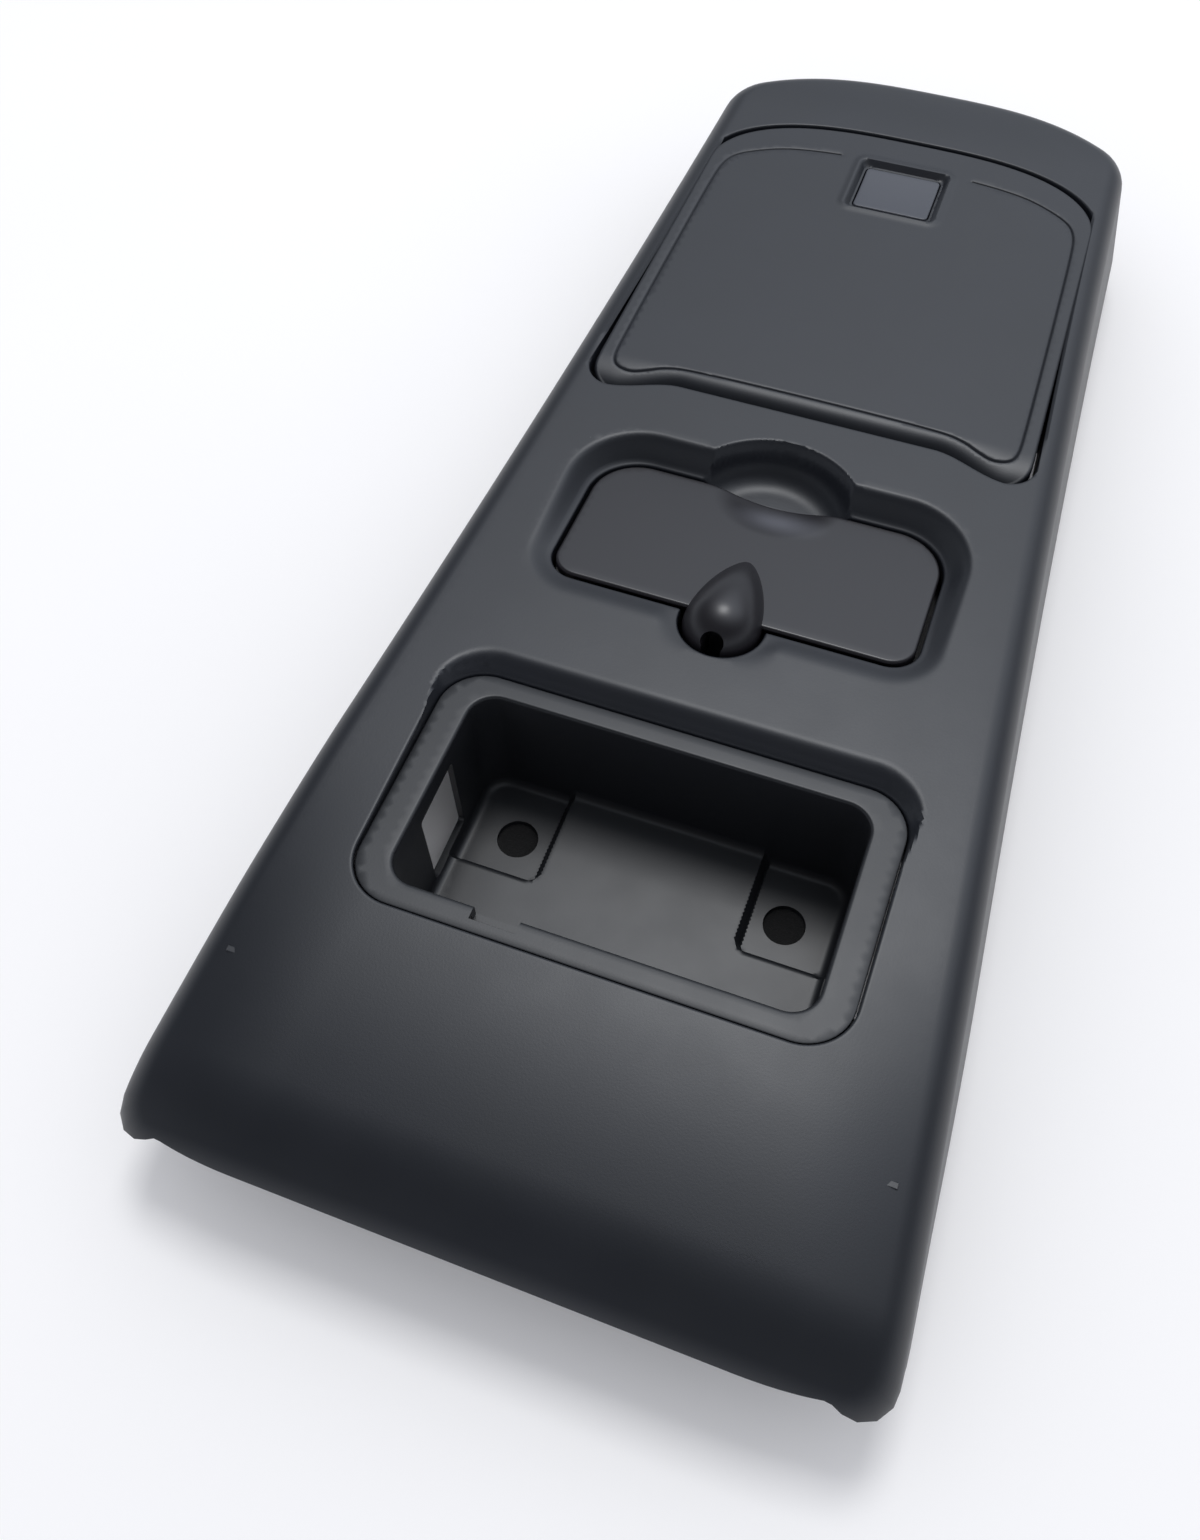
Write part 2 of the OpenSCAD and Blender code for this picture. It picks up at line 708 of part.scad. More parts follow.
// The steel plate under the housing's narrow end that the latch bolt catches
module latch_striker() {
    y0 = door_side_y + door_bulge + door_gap + 0.5;
    color(steel)
    difference() {
        translate([0, 0, striker_z - striker_t])
            linear_extrude(striker_t)
            polygon([[-20, y0 + 8], [-11, y0], [11, y0], [20, y0 + 8], [20, 241], [-20, 241]]);
        for (p = striker_bosses) {
            translate([p[0], p[1], striker_z - 3]) cylinder(d = screw_clear_d, h = 6);
        }
    }
}

module pocket_screws() {
    color(steel) for (p = pocket_bosses) screw(p, pocket_flange_z, flange_t, 7);
}
module bin_screws() {
    color(steel) for (p = bin_bosses) screw(p, bin_flange_z, flange_t, 7);
}
module case_screws() {
    color(steel) for (p = case_bosses) screw(p, case_flange_z, flange_t, 7);
}
module striker_screws() {
    color(steel) for (p = striker_bosses) screw(p, striker_z, striker_t, 1.8);
}

// The spring steel clips on the side walls, a folded leaf with two barbed legs
module retaining_clips() {
    t = 0.8;
    color(steel)
    for (c = clip_places) {
        x = clip_x(c[1]);
        y = [c[1] - 6, c[1] + 6];
        low = face_z - rim_at(c[1]) + 6;
        // The leaf lies on the tower's inner face, and folds round its lower edge
        side_block(c[0], [x - 1 - t, x - 1], y, [low - 7, low + 14]);
        side_block(c[0], [x - 1 - t, x + 1 + t], y, [low - t, low]);
        side_block(c[0], [x + 1, x + 1 + t], y, [low - t, low + 10]);
    }
}

// The door

pin_in = 52.6;
pin_out = 62;
arm_in = 53.4;
arm_out = 56.8;

module door_hinge_pins() {
    color(steel)
    for (s = [-1, 1]) {
        translate([0, hinge_y, axis_z]) {
            x_rod(pin_d, min(s * pin_in, s * pin_out), max(s * pin_in, s * pin_out));
            x_rod(6.4, min(s * pin_out, s * (pin_out + 1.2)), max(s * pin_out, s * (pin_out + 1.2)));
        }
    }
}

// A torsion spring's coil around each hinge pin's inner end, with its two legs
module door_springs() {
    wire = 1;
    coil_r = 3.6;
    color(steel)
    for (s = [-1, 1]) {
        translate([s * 49, hinge_y, axis_z]) rotate([0, 90, 0]) {
            for (k = [-2 : 2]) {
                translate([0, 0, k * (wire + 0.02)])
                    rotate_extrude($fn = 48) translate([coil_r - wire / 2, 0]) circle(d = wire, $fn = 16);
            }
        }
    }
}

recess_w = 37;
recess_l = 31;
well_depth = 8.2;

// The slanted recess around the button, and the hole that the button goes through
module button_recess() {
    translate([0, button_y, 0]) {
        hull() {
            translate([0, 0, face_z + 0.1]) rounded_block(recess_w, recess_l, 0.1, 2.5);
            translate([0, 0, face_z - 1.8]) rounded_block(recess_w - 3.4, recess_l - 3.4, 0.1, 2);
        }
        translate([0, 0, face_z - 20]) rounded_block(button_w + 0.8, button_l + 0.8, 30, 2.2);
    }
}

module door_panel() {
    color(charcoal)
    difference() {
        union() {
            resize([0, 0, 0]) difference() {
                door_solid(0);
                door_solid(door_skin);
            }
            // The tube that guides the button
            translate([0, button_y, tube_z])
                rounded_block(recess_w + 1.6, recess_l + 1.6, face_z - 1 - tube_z, 3);
            // Posts that the liner's screws go into
            for (p = liner_posts) {
                translate([p[0], p[1], liner_z + liner_t]) cylinder(d = 6.4, h = face_z - 1.2 - liner_z - liner_t);
            }
            for (s = [-1, 1]) door_arm(s);
        }
        button_recess();
        for (p = liner_posts) {
            translate([p[0], p[1], 0]) cylinder(d = 2.4, h = face_z - 2.6);
        }
        // Where the latch bolt passes through the tube and the door's edge
        block([-bolt_half - 0.3, button_y, bolt_z - 0.3],
              [bolt_half + 0.3, bolt_end_y + 2, bolt_z + bolt_t + 0.3]);
        translate([0, hinge_y, axis_z]) x_rod(pin_d + 2 * pin_clear, -70, 70);
        // Where the rolled edge clears the bin's ears as the door opens
        for (s = [-1, 1]) {
            side_block(s, [ear_in - 0.6, ear_out + 0.6],
                       [door_edge_y - door_lobe - 3, hinge_y - 4.25], [axis_z - 6, axis_z + 1.5]);
        }
    }
}

// The arm that turns on the hinge pin
module door_arm(s) {
    x0 = min(s * arm_in, s * arm_out);
    x1 = max(s * arm_in, s * arm_out);
    translate([0, hinge_y, axis_z]) x_rod(8, x0, x1);
    block([x0, hinge_y - 4, axis_z], [x1, hinge_y + 4, face_z - 1.6]);
    block([x0, hinge_y, face_z - 6], [x1, hinge_y + 22, face_z - 1.6]);
}

liner_posts = [[-62, 92], [62, 92], [-62, 176], [62, 176]];
liner_t = 2;
liner_z = face_z - skirt_depth + 0.1;

// The door's inner panel, seen when it is open
module door_liner() {
    near_y = hinge_y + 14;
    far_y = door_side_y + 3;
    color(inner_black)
    difference() {
        union() {
            translate([0, (near_y + far_y) / 2, liner_z])
                rounded_block(2 * (door_half - door_taper) - 7.6, far_y - near_y, liner_t, 6);
            // Two long ribs that stiffen it
            for (x = [-30, 30]) {
                block([x - 1, near_y + 8, liner_z + 0.5], [x + 1, button_y - 30, liner_z + liner_t + 3]);
            }
        }
        for (p = liner_posts) {
            translate([p[0], p[1], liner_z - 1]) cylinder(d = 3, h = 5);
        }
        block([-recess_w / 2 - 2, button_y - recess_l / 2 - 2, liner_z - 1],
              [recess_w / 2 + 2, far_y + 1, liner_z + 5]);
    }
}

module liner_screws() {
    color(steel)
    for (p = liner_posts) {
        translate([p[0], p[1], liner_z - 1.4]) {
            difference() {
                cylinder(d = 5, h = 1.4);
                translate([-1.5, -0.3, -0.1]) cube([3, 0.6, 0.8]);
            }
            cylinder(d = 2.4, h = 7);
        }
    }
}

// The push button, the bolt it draws back, and their springs

bolt_half = 8;
bolt_t = 3;
bolt_z = face_z - 10.4;
bolt_end_y = door_side_y + door_bulge + 3.6;
button_top = face_z - 1.4;
// Bottom of the tube that guides the button, where the spring seat lies against it
tube_z = face_z - 11;
button_h = 3;
leg_half = 4;
leg_bottom = bolt_z - 1;
ramp_slope = bolt_travel / button_travel;
ramp_clear = 0.4;
ramp_y = button_y + 2;
bolt_near_y = button_y - 6;
// Inner face of the guide tube's wall, where the bolt's spring stands
tube_wall_y = button_y - button_l / 2 - 0.4;

// The button, with a ramped leg that pushes the bolt back as it goes down
module release_button() {
    top = button_top - 1.4;
    color(button_grey) {
        difference() {
            translate([0, button_y, button_top - button_h]) rounded_block(button_w, button_l, button_h, 1.8);
            // A shallow dish for the fingertip
            translate([-button_w, button_y, button_top + 149.5])
                rotate([0, 90, 0]) cylinder(r = 150, h = 2 * button_w, $fn = 256);
            translate([0, button_y, button_top - button_h - 1])
                rounded_block(button_w - 4, button_l - 4, button_h - 0.6, 1);
        }
        translate([-leg_half, 0, 0])
            rotate([90, 0, 90])
            linear_extrude(2 * leg_half)
            polygon([
                [ramp_y - ramp_slope * (leg_bottom - bolt_z), leg_bottom],
                [button_y + 6, leg_bottom],
                [button_y + 6, top],
                [ramp_y - ramp_slope * (top - bolt_z), top]
            ]);
    }
}

// The bolt that slides under the button and holds the door shut
module latch_bolt() {
    near = bolt_near_y;
    color(inner_black)
    difference() {
        block([-bolt_half, near, bolt_z], [bolt_half, bolt_end_y, bolt_z + bolt_t]);
        translate([-leg_half - 0.5, 0, 0])
            rotate([90, 0, 90])
            linear_extrude(2 * leg_half + 1)
            polygon([
                [ramp_y - ramp_clear + ramp_slope, bolt_z - 1],
                [button_y + 6 + bolt_travel + 0.5, bolt_z - 1],
                [button_y + 6 + bolt_travel + 0.5, bolt_z + bolt_t + 1],
                [ramp_y - ramp_clear - ramp_slope * (bolt_t + 1), bolt_z + bolt_t + 1]
            ]);
    }
}

// A coil spring along Z from 0, as one wire swept round its helix
module coil(r, wire_r, h, turns) {
    sides = 6;
    per_turn = 12;
    n = turns * per_turn;
    points = [for (i = [0 : n]) for (k = [0 : sides - 1])
        let (
            a = 360 * i / per_turn,
            b = 360 * k / sides,
            q = r + wire_r * cos(b)
        )
        [q * cos(a), q * sin(a), wire_r + (h - 2 * wire_r) * i / n + wire_r * sin(b)]
    ];
    walls = [for (i = [0 : n - 1]) for (k = [0 : sides - 1])
        let (
            a = i * sides + k,
            b = i * sides + (k + 1) % sides
        )
        each [[a, b, b + sides], [a, b + sides, a + sides]]
    ];
    ends = [[for (k = [sides - 1 : -1 : 0]) k], [for (k = [0 : sides - 1]) n * sides + k]];
    polyhedron(points, concat(walls, ends), convexity = 6);
}

spring_x = 11;
spring_y = button_y + 5;
spring_cup = 0.4;

// Two coils under the button, standing in the cups of their seat
module button_spring() {
    color(steel)
    for (s = [-1, 1]) {
        translate([s * spring_x, spring_y, tube_z - spring_cup])
            coil(1.9, 0.3, button_top - 1.6 - tube_z + spring_cup, 4);
    }
}

// The bridge across the door's guide tube that carries the springs
module spring_seat() {
    y = [button_y - button_l / 2 - 4, button_y + button_l / 2 + 4];
    color(inner_black)
    difference() {
        union() {
            for (s = [-1, 1]) side_block(s, [8.6, 13.6], y, [tube_z - 1.6, tube_z]);
            block([-13.6, y[0], tube_z - 1.6], [13.6, y[0] + 5, tube_z]);
        }
        for (s = [-1, 1]) {
            translate([s * spring_x, spring_y, tube_z - spring_cup]) cylinder(d = 4.6, h = 1);
        }
    }
}

// The coil that drives the bolt out, between the bolt and the guide tube's near wall
module bolt_spring() {
    color(steel)
    translate([0, tube_wall_y, bolt_z + bolt_t / 2])
        rotate([-90, 0, 0])
        coil(1.1, 0.25, bolt_near_y - tube_wall_y, 4);
}

// The mirror and its hinge

glass_half = 54;
glass_y = [10, 46];
glass_t = 1.8;
frame_t = 1;
cover_low = cover_rise - cover_t;
slot_half = 3.4;
stem_half = 2.8;
stem_w = 8.6;
// The slot's far side, clear of the upright stem behind the tilted mirror
slot_reach = stem_w / 2 + 1.6;
case_half = 72;
case_y = [-66, 30];
case_floor_z = face_z - 27;
hinge_plane_z = mirror_axis_z - case_floor_z;

// The pod over the hinge: a ball round the axis that tapers to a tip along the cover
module pod(shrink) {
    r = pod_r - shrink;
    reach = pod_reach - shrink;
    rotate([-90, 0, 0])
        rotate_extrude($fn = 40)
        polygon(concat(
            [[0, -r]],
            [for (a = [-75 : 15 : 0]) [r * cos(a), r * sin(a)]],
            [for (i = [1 : 9]) [r * pow(1 - pow(i / 10, 1.7), 0.8), reach * i / 10]],
            [[0, reach]]
        ));
}

module mirror_cover() {
    lens_r = 61.5;
    lens_depth = 4.1;
    color(warm_black)
    on_mirror_axis() {
        difference() {
            union() {
                difference() {
                    translate([0, 0, cover_low])
                        linear_extrude(cover_t)
                        mirror_plan(0);
                    // The near edge leans back underneath, so that it clears the housing as it turns
                    translate([-mirror_half - 1, 0, 0])
                        rotate([90, 0, 90])
                        linear_extrude(2 * mirror_half + 2)
                        polygon([
                            [mirror_near - 4, 2.2], [mirror_near, 2.2], [mirror_near + 2.6, cover_low],
                            [mirror_near + 2.6, cover_low - 2], [mirror_near - 4, cover_low - 2]
                        ]);
                }
                resize([0, 0, 0]) intersection() {
                    pod(0);
                    translate([0, 10, 4]) cube([60, 80, 24], center = true);
                }
            }
            // The dished finger recess at the far edge
            translate([0, mirror_reach + 6.6, cover_rise + lens_r - lens_depth]) sphere(r = lens_r, $fn = 96);
            // The seat of the glass and its frame
            translate([0, (glass_y[0] + glass_y[1]) / 2, cover_low - 1])
                rounded_block(
                    2 * glass_half + 3, glass_y[1] - glass_y[0] + 3, 1 + glass_t + frame_t, 8
                );
            // The slot that the hinge stem swings through, round at its upper end
            rotate([90, 0, 90])
                translate([0, 0, -slot_half])
                linear_extrude(2 * slot_half)
                polygon([
                    [slot_reach, 0], [0, stem_w / 2 + 0.4], [-20, 7.4], [-20, -20], [slot_reach, -20]
                ]);
            rotate([67, 0, 0]) cylinder(d = 8, h = 20);
            translate([-slot_half, 0, 0]) x_rod(12.4, -0.01, 2 * slot_half + 0.01);
            x_rod(mirror_pin_d, -pod_r - 5, pod_r + 5);
        }
    }
}

module mirror_glass() {
    color(silver)
    on_mirror_axis()
        translate([0, (glass_y[0] + glass_y[1]) / 2, cover_low + frame_t])
        rounded_block(2 * glass_half + 2, glass_y[1] - glass_y[0] + 2, glass_t, 7.5);
}

// The thin frame that holds the glass in the cover
module mirror_frame() {
    color(inner_black)
    on_mirror_axis()
        translate([0, (glass_y[0] + glass_y[1]) / 2, cover_low])
        difference() {
            rounded_block(2 * glass_half + 2.8, glass_y[1] - glass_y[0] + 2.8, frame_t, 7.9);
            translate([0, 0, -1])
                rounded_block(2 * glass_half - 5, glass_y[1] - glass_y[0] - 5, 3, 5);
        }
}

module mirror_pin() {
    color(steel) on_mirror_axis() x_rod(mirror_pin_d, -pod_r + 1.4, pod_r - 1.4);
}

// The stem that carries the mirror's pin, on a foot in the case behind the mirror
module mirror_bracket() {
    foot_y = [-15, 15];
    color(steel)
    translate([0, mirror_axis_y, case_floor_z + 2]) difference() {
        union() {
            block([-14, foot_y[0], 0], [14, foot_y[1], 1.6]);
            translate([0, 0, hinge_plane_z - 2]) x_rod(stem_w, -stem_half, stem_half);
            block([-stem_half, -stem_w / 2, 0.5], [stem_half, stem_w / 2, hinge_plane_z - 2]);
        }
        translate([0, 0, hinge_plane_z - 2])
            x_rod(mirror_pin_d + 2 * pin_clear, -stem_half - 1, stem_half + 1);
        for (s = [-1, 1]) {
            translate([0, s * 10.5, -1]) cylinder(d = 3.2, h = 4);
        }
    }
}

// Two spring washers on the pin that hold the mirror at any angle
module friction_washers() {
    color(steel)
    on_mirror_axis()
        for (s = [-1, 1]) {
            difference() {
                x_rod(6.4, min(s * stem_half, s * (slot_half - 0.05)), max(s * stem_half, s * (slot_half - 0.05)));
                x_rod(mirror_pin_d, -9, 9);
            }
        }
}

module bracket_screws() {
    color(steel)
    for (s = [-1, 1]) {
        translate([0, mirror_axis_y + s * 10.5, case_floor_z + 2]) {
            translate([0, 0, 1.6]) cylinder(d = 5.2, h = 1.6);
            translate([0, 0, -3.6]) cylinder(d = 3, h = 5.4);
        }
    }
}

// The tray behind the mirror
module mirror_case() {
    mid_y = (case_y[0] + case_y[1]) / 2;
    l = case_y[1] - case_y[0];
    color(inner_black)
    difference() {
        union() {
            translate([0, mid_y, case_floor_z])
                rounded_block(2 * case_half, l, case_flange_z - case_floor_z, 8);
            for (p = case_bosses) ear(p, sign(p[0]) * (case_half - 3), case_flange_z - flange_t, 12);
            for (s = [-1, 1]) {
                translate([0, mirror_axis_y + s * 10.5, case_floor_z - 3]) cylinder(d = 7, h = 4);
            }
        }
        translate([0, mid_y, case_floor_z + 2])
            rounded_block(2 * case_half - 4, l - 4, depth, 6);
        for (s = [-1, 1]) {
            translate([0, mirror_axis_y + s * 10.5, case_floor_z - 4]) cylinder(d = 3, h = 8);
        }
        for (p = case_bosses) {
            translate([p[0], p[1], case_flange_z - 6]) cylinder(d = screw_clear_d, h = 10);
        }
    }
}

console_shell();
lamp_pocket();
bin_housing();
bin_mat();
latch_striker();
mirror_case();
mirror_bracket();
friction_washers();
retaining_clips();
pocket_screws();
bin_screws();
case_screws();
striker_screws();
bracket_screws();
bump_stops();
door_hinge_pins();
door_springs();
door_panel();
door_liner();
liner_screws();
spring_seat();
release_button();
button_spring();
latch_bolt();
bolt_spring();
mirror_cover();
mirror_glass();
mirror_frame();
mirror_pin();
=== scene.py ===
"""Dresses the overhead console: mouldings, mirror, springs and screws, with a studio around them."""

import math

import bmesh
import bpy
import numpy as np
from mathutils import Matrix, Vector
from mathutils.geometry import delaunay_2d_cdt


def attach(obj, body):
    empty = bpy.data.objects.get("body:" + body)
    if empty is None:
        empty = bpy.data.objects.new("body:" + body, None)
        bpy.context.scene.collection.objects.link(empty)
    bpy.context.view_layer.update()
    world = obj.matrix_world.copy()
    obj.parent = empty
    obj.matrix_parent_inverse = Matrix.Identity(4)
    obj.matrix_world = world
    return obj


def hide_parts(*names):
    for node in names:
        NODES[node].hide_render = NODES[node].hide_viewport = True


bl_info = {
    "name": "Overhead console dressing",
    "version": (1, 0, 0),
    "blender": (4, 5, 0),
    "location": "View3D > Sidebar > Console",
    "description": "Finishes the mouldings, mirror and metal pieces of an overhead console",
    "category": "Object",
}

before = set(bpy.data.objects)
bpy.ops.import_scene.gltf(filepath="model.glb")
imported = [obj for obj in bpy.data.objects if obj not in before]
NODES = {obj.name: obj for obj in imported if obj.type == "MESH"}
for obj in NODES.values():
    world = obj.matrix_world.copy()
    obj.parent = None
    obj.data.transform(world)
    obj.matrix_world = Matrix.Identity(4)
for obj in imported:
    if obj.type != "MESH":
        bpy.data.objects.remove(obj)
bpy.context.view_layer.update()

# The camera, in metres, and its lens in millimetres
CAMERA_AT = (0.06902, -0.32287, 0.43525)
CAMERA_RIGHT = (0.9364, 0.3502, -0.0239)
CAMERA_UP = (-0.2893, 0.8085, 0.5125)
CAMERA_BACK = (0.1988, -0.4730, 0.8584)
CAMERA_LENS = 32.73

# The studio's light: a lamp above the narrow end, and a world that is graded where it is reflected
KEY_AT = (-0.1, 0.62, 2.1)
KEY_SIZE = 0.7
KEY_POWER = 16
EVEN_LIGHT = 0.74
SOFTBOX_LIGHT = 1.7
SOFTBOX_WAY = Vector((0.15, 0.5, 0.85)).normalized()


# Colours and nodes

def linear(code):
    """A colour given as an sRGB hex value, as linear red, green, blue and alpha."""
    channels = [int(code[i:i + 2], 16) / 255 for i in (1, 3, 5)]
    return [c / 12.92 if c <= 0.04045 else ((c + 0.055) / 1.055) ** 2.4 for c in channels] + [1.0]


def add_node(tree, kind, settings=None, inputs=None, stops=None):
    """Adds a node, sets its properties and its ramp's stops, and fills or links its inputs."""
    node = tree.nodes.new(kind)
    for name, value in (settings or {}).items():
        setattr(node, name, value)
    for name, value in (inputs or {}).items():
        if isinstance(value, bpy.types.NodeSocket):
            tree.links.new(value, node.inputs[name])
        else:
            node.inputs[name].default_value = value
    if stops:
        elements = node.color_ramp.elements
        elements[0].position, elements[0].color = stops[0]
        elements[1].position, elements[1].color = stops[-1]
        for position, colour in stops[1:-1]:
            elements.new(position).color = colour
    return node


def grey(value):
    """A neutral of this strength, a little cool."""
    return (value * 0.84, value * 0.9, value, 1.0)


def per_mm(size_mm):
    """Texture scale at which one pattern cell is this many millimetres across."""
    return 1000.0 / size_mm


def new_material(name):
    """An empty material with a shader, its output and object coordinates in metres."""
    material = bpy.data.materials.new(name)
    material.use_nodes = True
    tree = material.node_tree
    tree.nodes.clear()
    shader = add_node(tree, "ShaderNodeBsdfPrincipled")
    output = add_node(tree, "ShaderNodeOutputMaterial")
    tree.links.new(shader.outputs["BSDF"], output.inputs["Surface"])
    place = add_node(tree, "ShaderNodeTexCoord").outputs["Object"]
    return material, tree, shader, place


def moulded_plastic(name, base, pale, grain_mm, grain_depth_mm, roughness, dust=0.0):
    """Injection-moulded plastic: a fine grain breaks the gleam, and the tone drifts as the melt flowed.

    The polish of handling varies the roughness a little, and single specks of dust lie far apart.
    """
    material, tree, shader, place = new_material(name)
    cloud = add_node(tree, "ShaderNodeTexNoise", None, {"Vector": place, "Scale": per_mm(55), "Detail": 3.0})
    colour = add_node(tree, "ShaderNodeValToRGB", None, {"Fac": cloud.outputs["Fac"]}, [
        (0.3, linear(base)), (0.7, linear(pale))]).outputs["Color"]
    if dust:
        mote = add_node(tree, "ShaderNodeTexVoronoi", {"feature": "F1"}, {
            "Vector": place, "Scale": per_mm(26)})
        cover, bare = (dust, dust, dust, 1), (0, 0, 0, 1)
        spot = add_node(tree, "ShaderNodeValToRGB", None, {"Fac": mote.outputs["Distance"]}, [
            (0.0, cover), (0.006, cover), (0.011, bare)]).outputs["Color"]
        colour = add_node(tree, "ShaderNodeMix", {"data_type": "RGBA"}, {
            0: spot, 6: colour, 7: linear("#9A9A98")}).outputs[2]
    tree.links.new(colour, shader.inputs["Base Color"])
    polish = add_node(tree, "ShaderNodeTexNoise", None, {"Vector": place, "Scale": per_mm(18), "Detail": 4.0})
    rough = add_node(tree, "ShaderNodeMapRange", None, {
        "Value": polish.outputs["Fac"], "From Min": 0.3, "From Max": 0.7,
        "To Min": roughness - 0.015, "To Max": roughness + 0.015})
    tree.links.new(rough.outputs["Result"], shader.inputs["Roughness"])
    shader.inputs["IOR"].default_value = 1.53
    grain = add_node(tree, "ShaderNodeTexNoise", None, {
        "Vector": place, "Scale": per_mm(grain_mm), "Detail": 3.0, "Roughness": 0.6})
    bump = add_node(tree, "ShaderNodeBump", None, {
        "Height": grain.outputs["Fac"], "Strength": 1.0, "Distance": grain_depth_mm / 1000})
    tree.links.new(bump.outputs["Normal"], shader.inputs["Normal"])
    return material


def paint_recess_highlight(material, place, pale):
    """Adds a painted highlight: a soft paler patch that stands in for a gleam of light, fading out over about
    40 by 19 mm.
    """
    tree = material.node_tree
    shader = next(n for n in tree.nodes if n.type == "BSDF_PRINCIPLED")
    before = shader.inputs["Base Color"].links[0].from_socket
    at = add_node(tree, "ShaderNodeTexCoord").outputs["Object"]
    away = add_node(tree, "ShaderNodeVectorMath", {"operation": "SUBTRACT"}, {0: at, 1: place}).outputs[0]
    flat = add_node(tree, "ShaderNodeVectorMath", {"operation": "MULTIPLY"}, {
        0: away, 1: (0.8, 1.7, 1.0)}).outputs[0]
    far = add_node(tree, "ShaderNodeVectorMath", {"operation": "LENGTH"}, {0: flat}).outputs["Value"]
    # Mask of the painted highlight: full in the middle of the recess, none beyond its edge
    share = add_node(tree, "ShaderNodeMapRange", {"interpolation_type": "SMOOTHSTEP"}, {
        "Value": far, "From Min": 0.0, "From Max": 0.016, "To Min": 1.0, "To Max": 0.0}).outputs["Result"]
    mixed = add_node(tree, "ShaderNodeMix", {"data_type": "RGBA"}, {0: share, 6: before, 7: linear(pale)})
    tree.links.new(mixed.outputs[2], shader.inputs["Base Color"])


def plated_metal(name, base, tint, roughness):
    """A plated or blued metal: clear in its reflections, under a cloudy plating with fine scratches."""
    material, tree, shader, place = new_material(name)
    cloud = add_node(tree, "ShaderNodeTexNoise", None, {"Vector": place, "Scale": per_mm(2.5), "Detail": 3.0})
    colour = add_node(tree, "ShaderNodeValToRGB", None, {"Fac": cloud.outputs["Fac"]}, [
        (0.35, linear(base)), (0.65, linear(tint))])
    tree.links.new(colour.outputs["Color"], shader.inputs["Base Color"])
    shader.inputs["Metallic"].default_value = 1.0
    rough = add_node(tree, "ShaderNodeMapRange", None, {
        "Value": cloud.outputs["Fac"], "To Min": roughness - 0.08, "To Max": roughness + 0.08})
    tree.links.new(rough.outputs["Result"], shader.inputs["Roughness"])
    scratch = add_node(tree, "ShaderNodeTexNoise", None, {
        "Vector": place, "Scale": per_mm(0.6), "Detail": 2.0})
    bump = add_node(tree, "ShaderNodeBump", None, {
        "Height": scratch.outputs["Fac"], "Strength": 1.0, "Distance": 0.000004})
    tree.links.new(bump.outputs["Normal"], shader.inputs["Normal"])
    return material


def needle_felt(name, base, pale):
    """Needle-punched felt: short tangled fibres that catch the light at the edge."""
    material, tree, shader, place = new_material(name)
    fibre = add_node(tree, "ShaderNodeTexNoise", None, {
        "Vector": place, "Scale": per_mm(1.4), "Detail": 6.0, "Distortion": 2.5})
    colour = add_node(tree, "ShaderNodeValToRGB", None, {"Fac": fibre.outputs["Fac"]}, [
        (0.35, linear(base)), (0.68, linear(pale))])
    tree.links.new(colour.outputs["Color"], shader.inputs["Base Color"])
    shader.inputs["Roughness"].default_value = 0.95
    shader.inputs["Sheen Weight"].default_value = 0.3
    bump = add_node(tree, "ShaderNodeBump", None, {
        "Height": fibre.outputs["Fac"], "Strength": 1.0, "Distance": 0.0003})
    tree.links.new(bump.outputs["Normal"], shader.inputs["Normal"])
    return material


def soft_rubber(name, base, pale):
    """Moulded rubber: matt, with a faint bloom on its skin."""
    material, tree, shader, place = new_material(name)
    bloom = add_node(tree, "ShaderNodeTexNoise", None, {"Vector": place, "Scale": per_mm(3), "Detail": 4.0})
    colour = add_node(tree, "ShaderNodeValToRGB", None, {"Fac": bloom.outputs["Fac"]}, [
        (0.4, linear(base)), (0.75, linear(pale))])
    tree.links.new(colour.outputs["Color"], shader.inputs["Base Color"])
    shader.inputs["Roughness"].default_value = 0.7
    bump = add_node(tree, "ShaderNodeBump", None, {
        "Height": bloom.outputs["Fac"], "Strength": 1.0, "Distance": 0.00003})
    tree.links.new(bump.outputs["Normal"], shader.inputs["Normal"])
    return material


def silvered_glass(name):
    """Back-silvered glass: a clear mirror with a little dust that dulls it in places."""
    material, tree, shader, place = new_material(name)
    haze = add_node(tree, "ShaderNodeTexNoise", None, {"Vector": place, "Scale": per_mm(20), "Detail": 5.0})
    colour = add_node(tree, "ShaderNodeValToRGB", None, {"Fac": haze.outputs["Fac"]}, [
        (0.3, linear("#DDE1E4")), (0.8, linear("#CDD2D6"))])
    tree.links.new(colour.outputs["Color"], shader.inputs["Base Color"])
    shader.inputs["Metallic"].default_value = 1.0
    rough = add_node(tree, "ShaderNodeMapRange", None, {
        "Value": haze.outputs["Fac"], "To Min": 0.01, "To Max": 0.07})
    tree.links.new(rough.outputs["Result"], shader.inputs["Roughness"])
    return material


def dress(material, names):
    """Gives CAD nodes one material."""
    for name in names:
        mesh = NODES[name].data
        mesh.materials.clear()
        mesh.materials.append(material)


# Sizes of the mouldings in millimetres, along the frame's own axes

MM = 0.001                      # a millimetre in metres

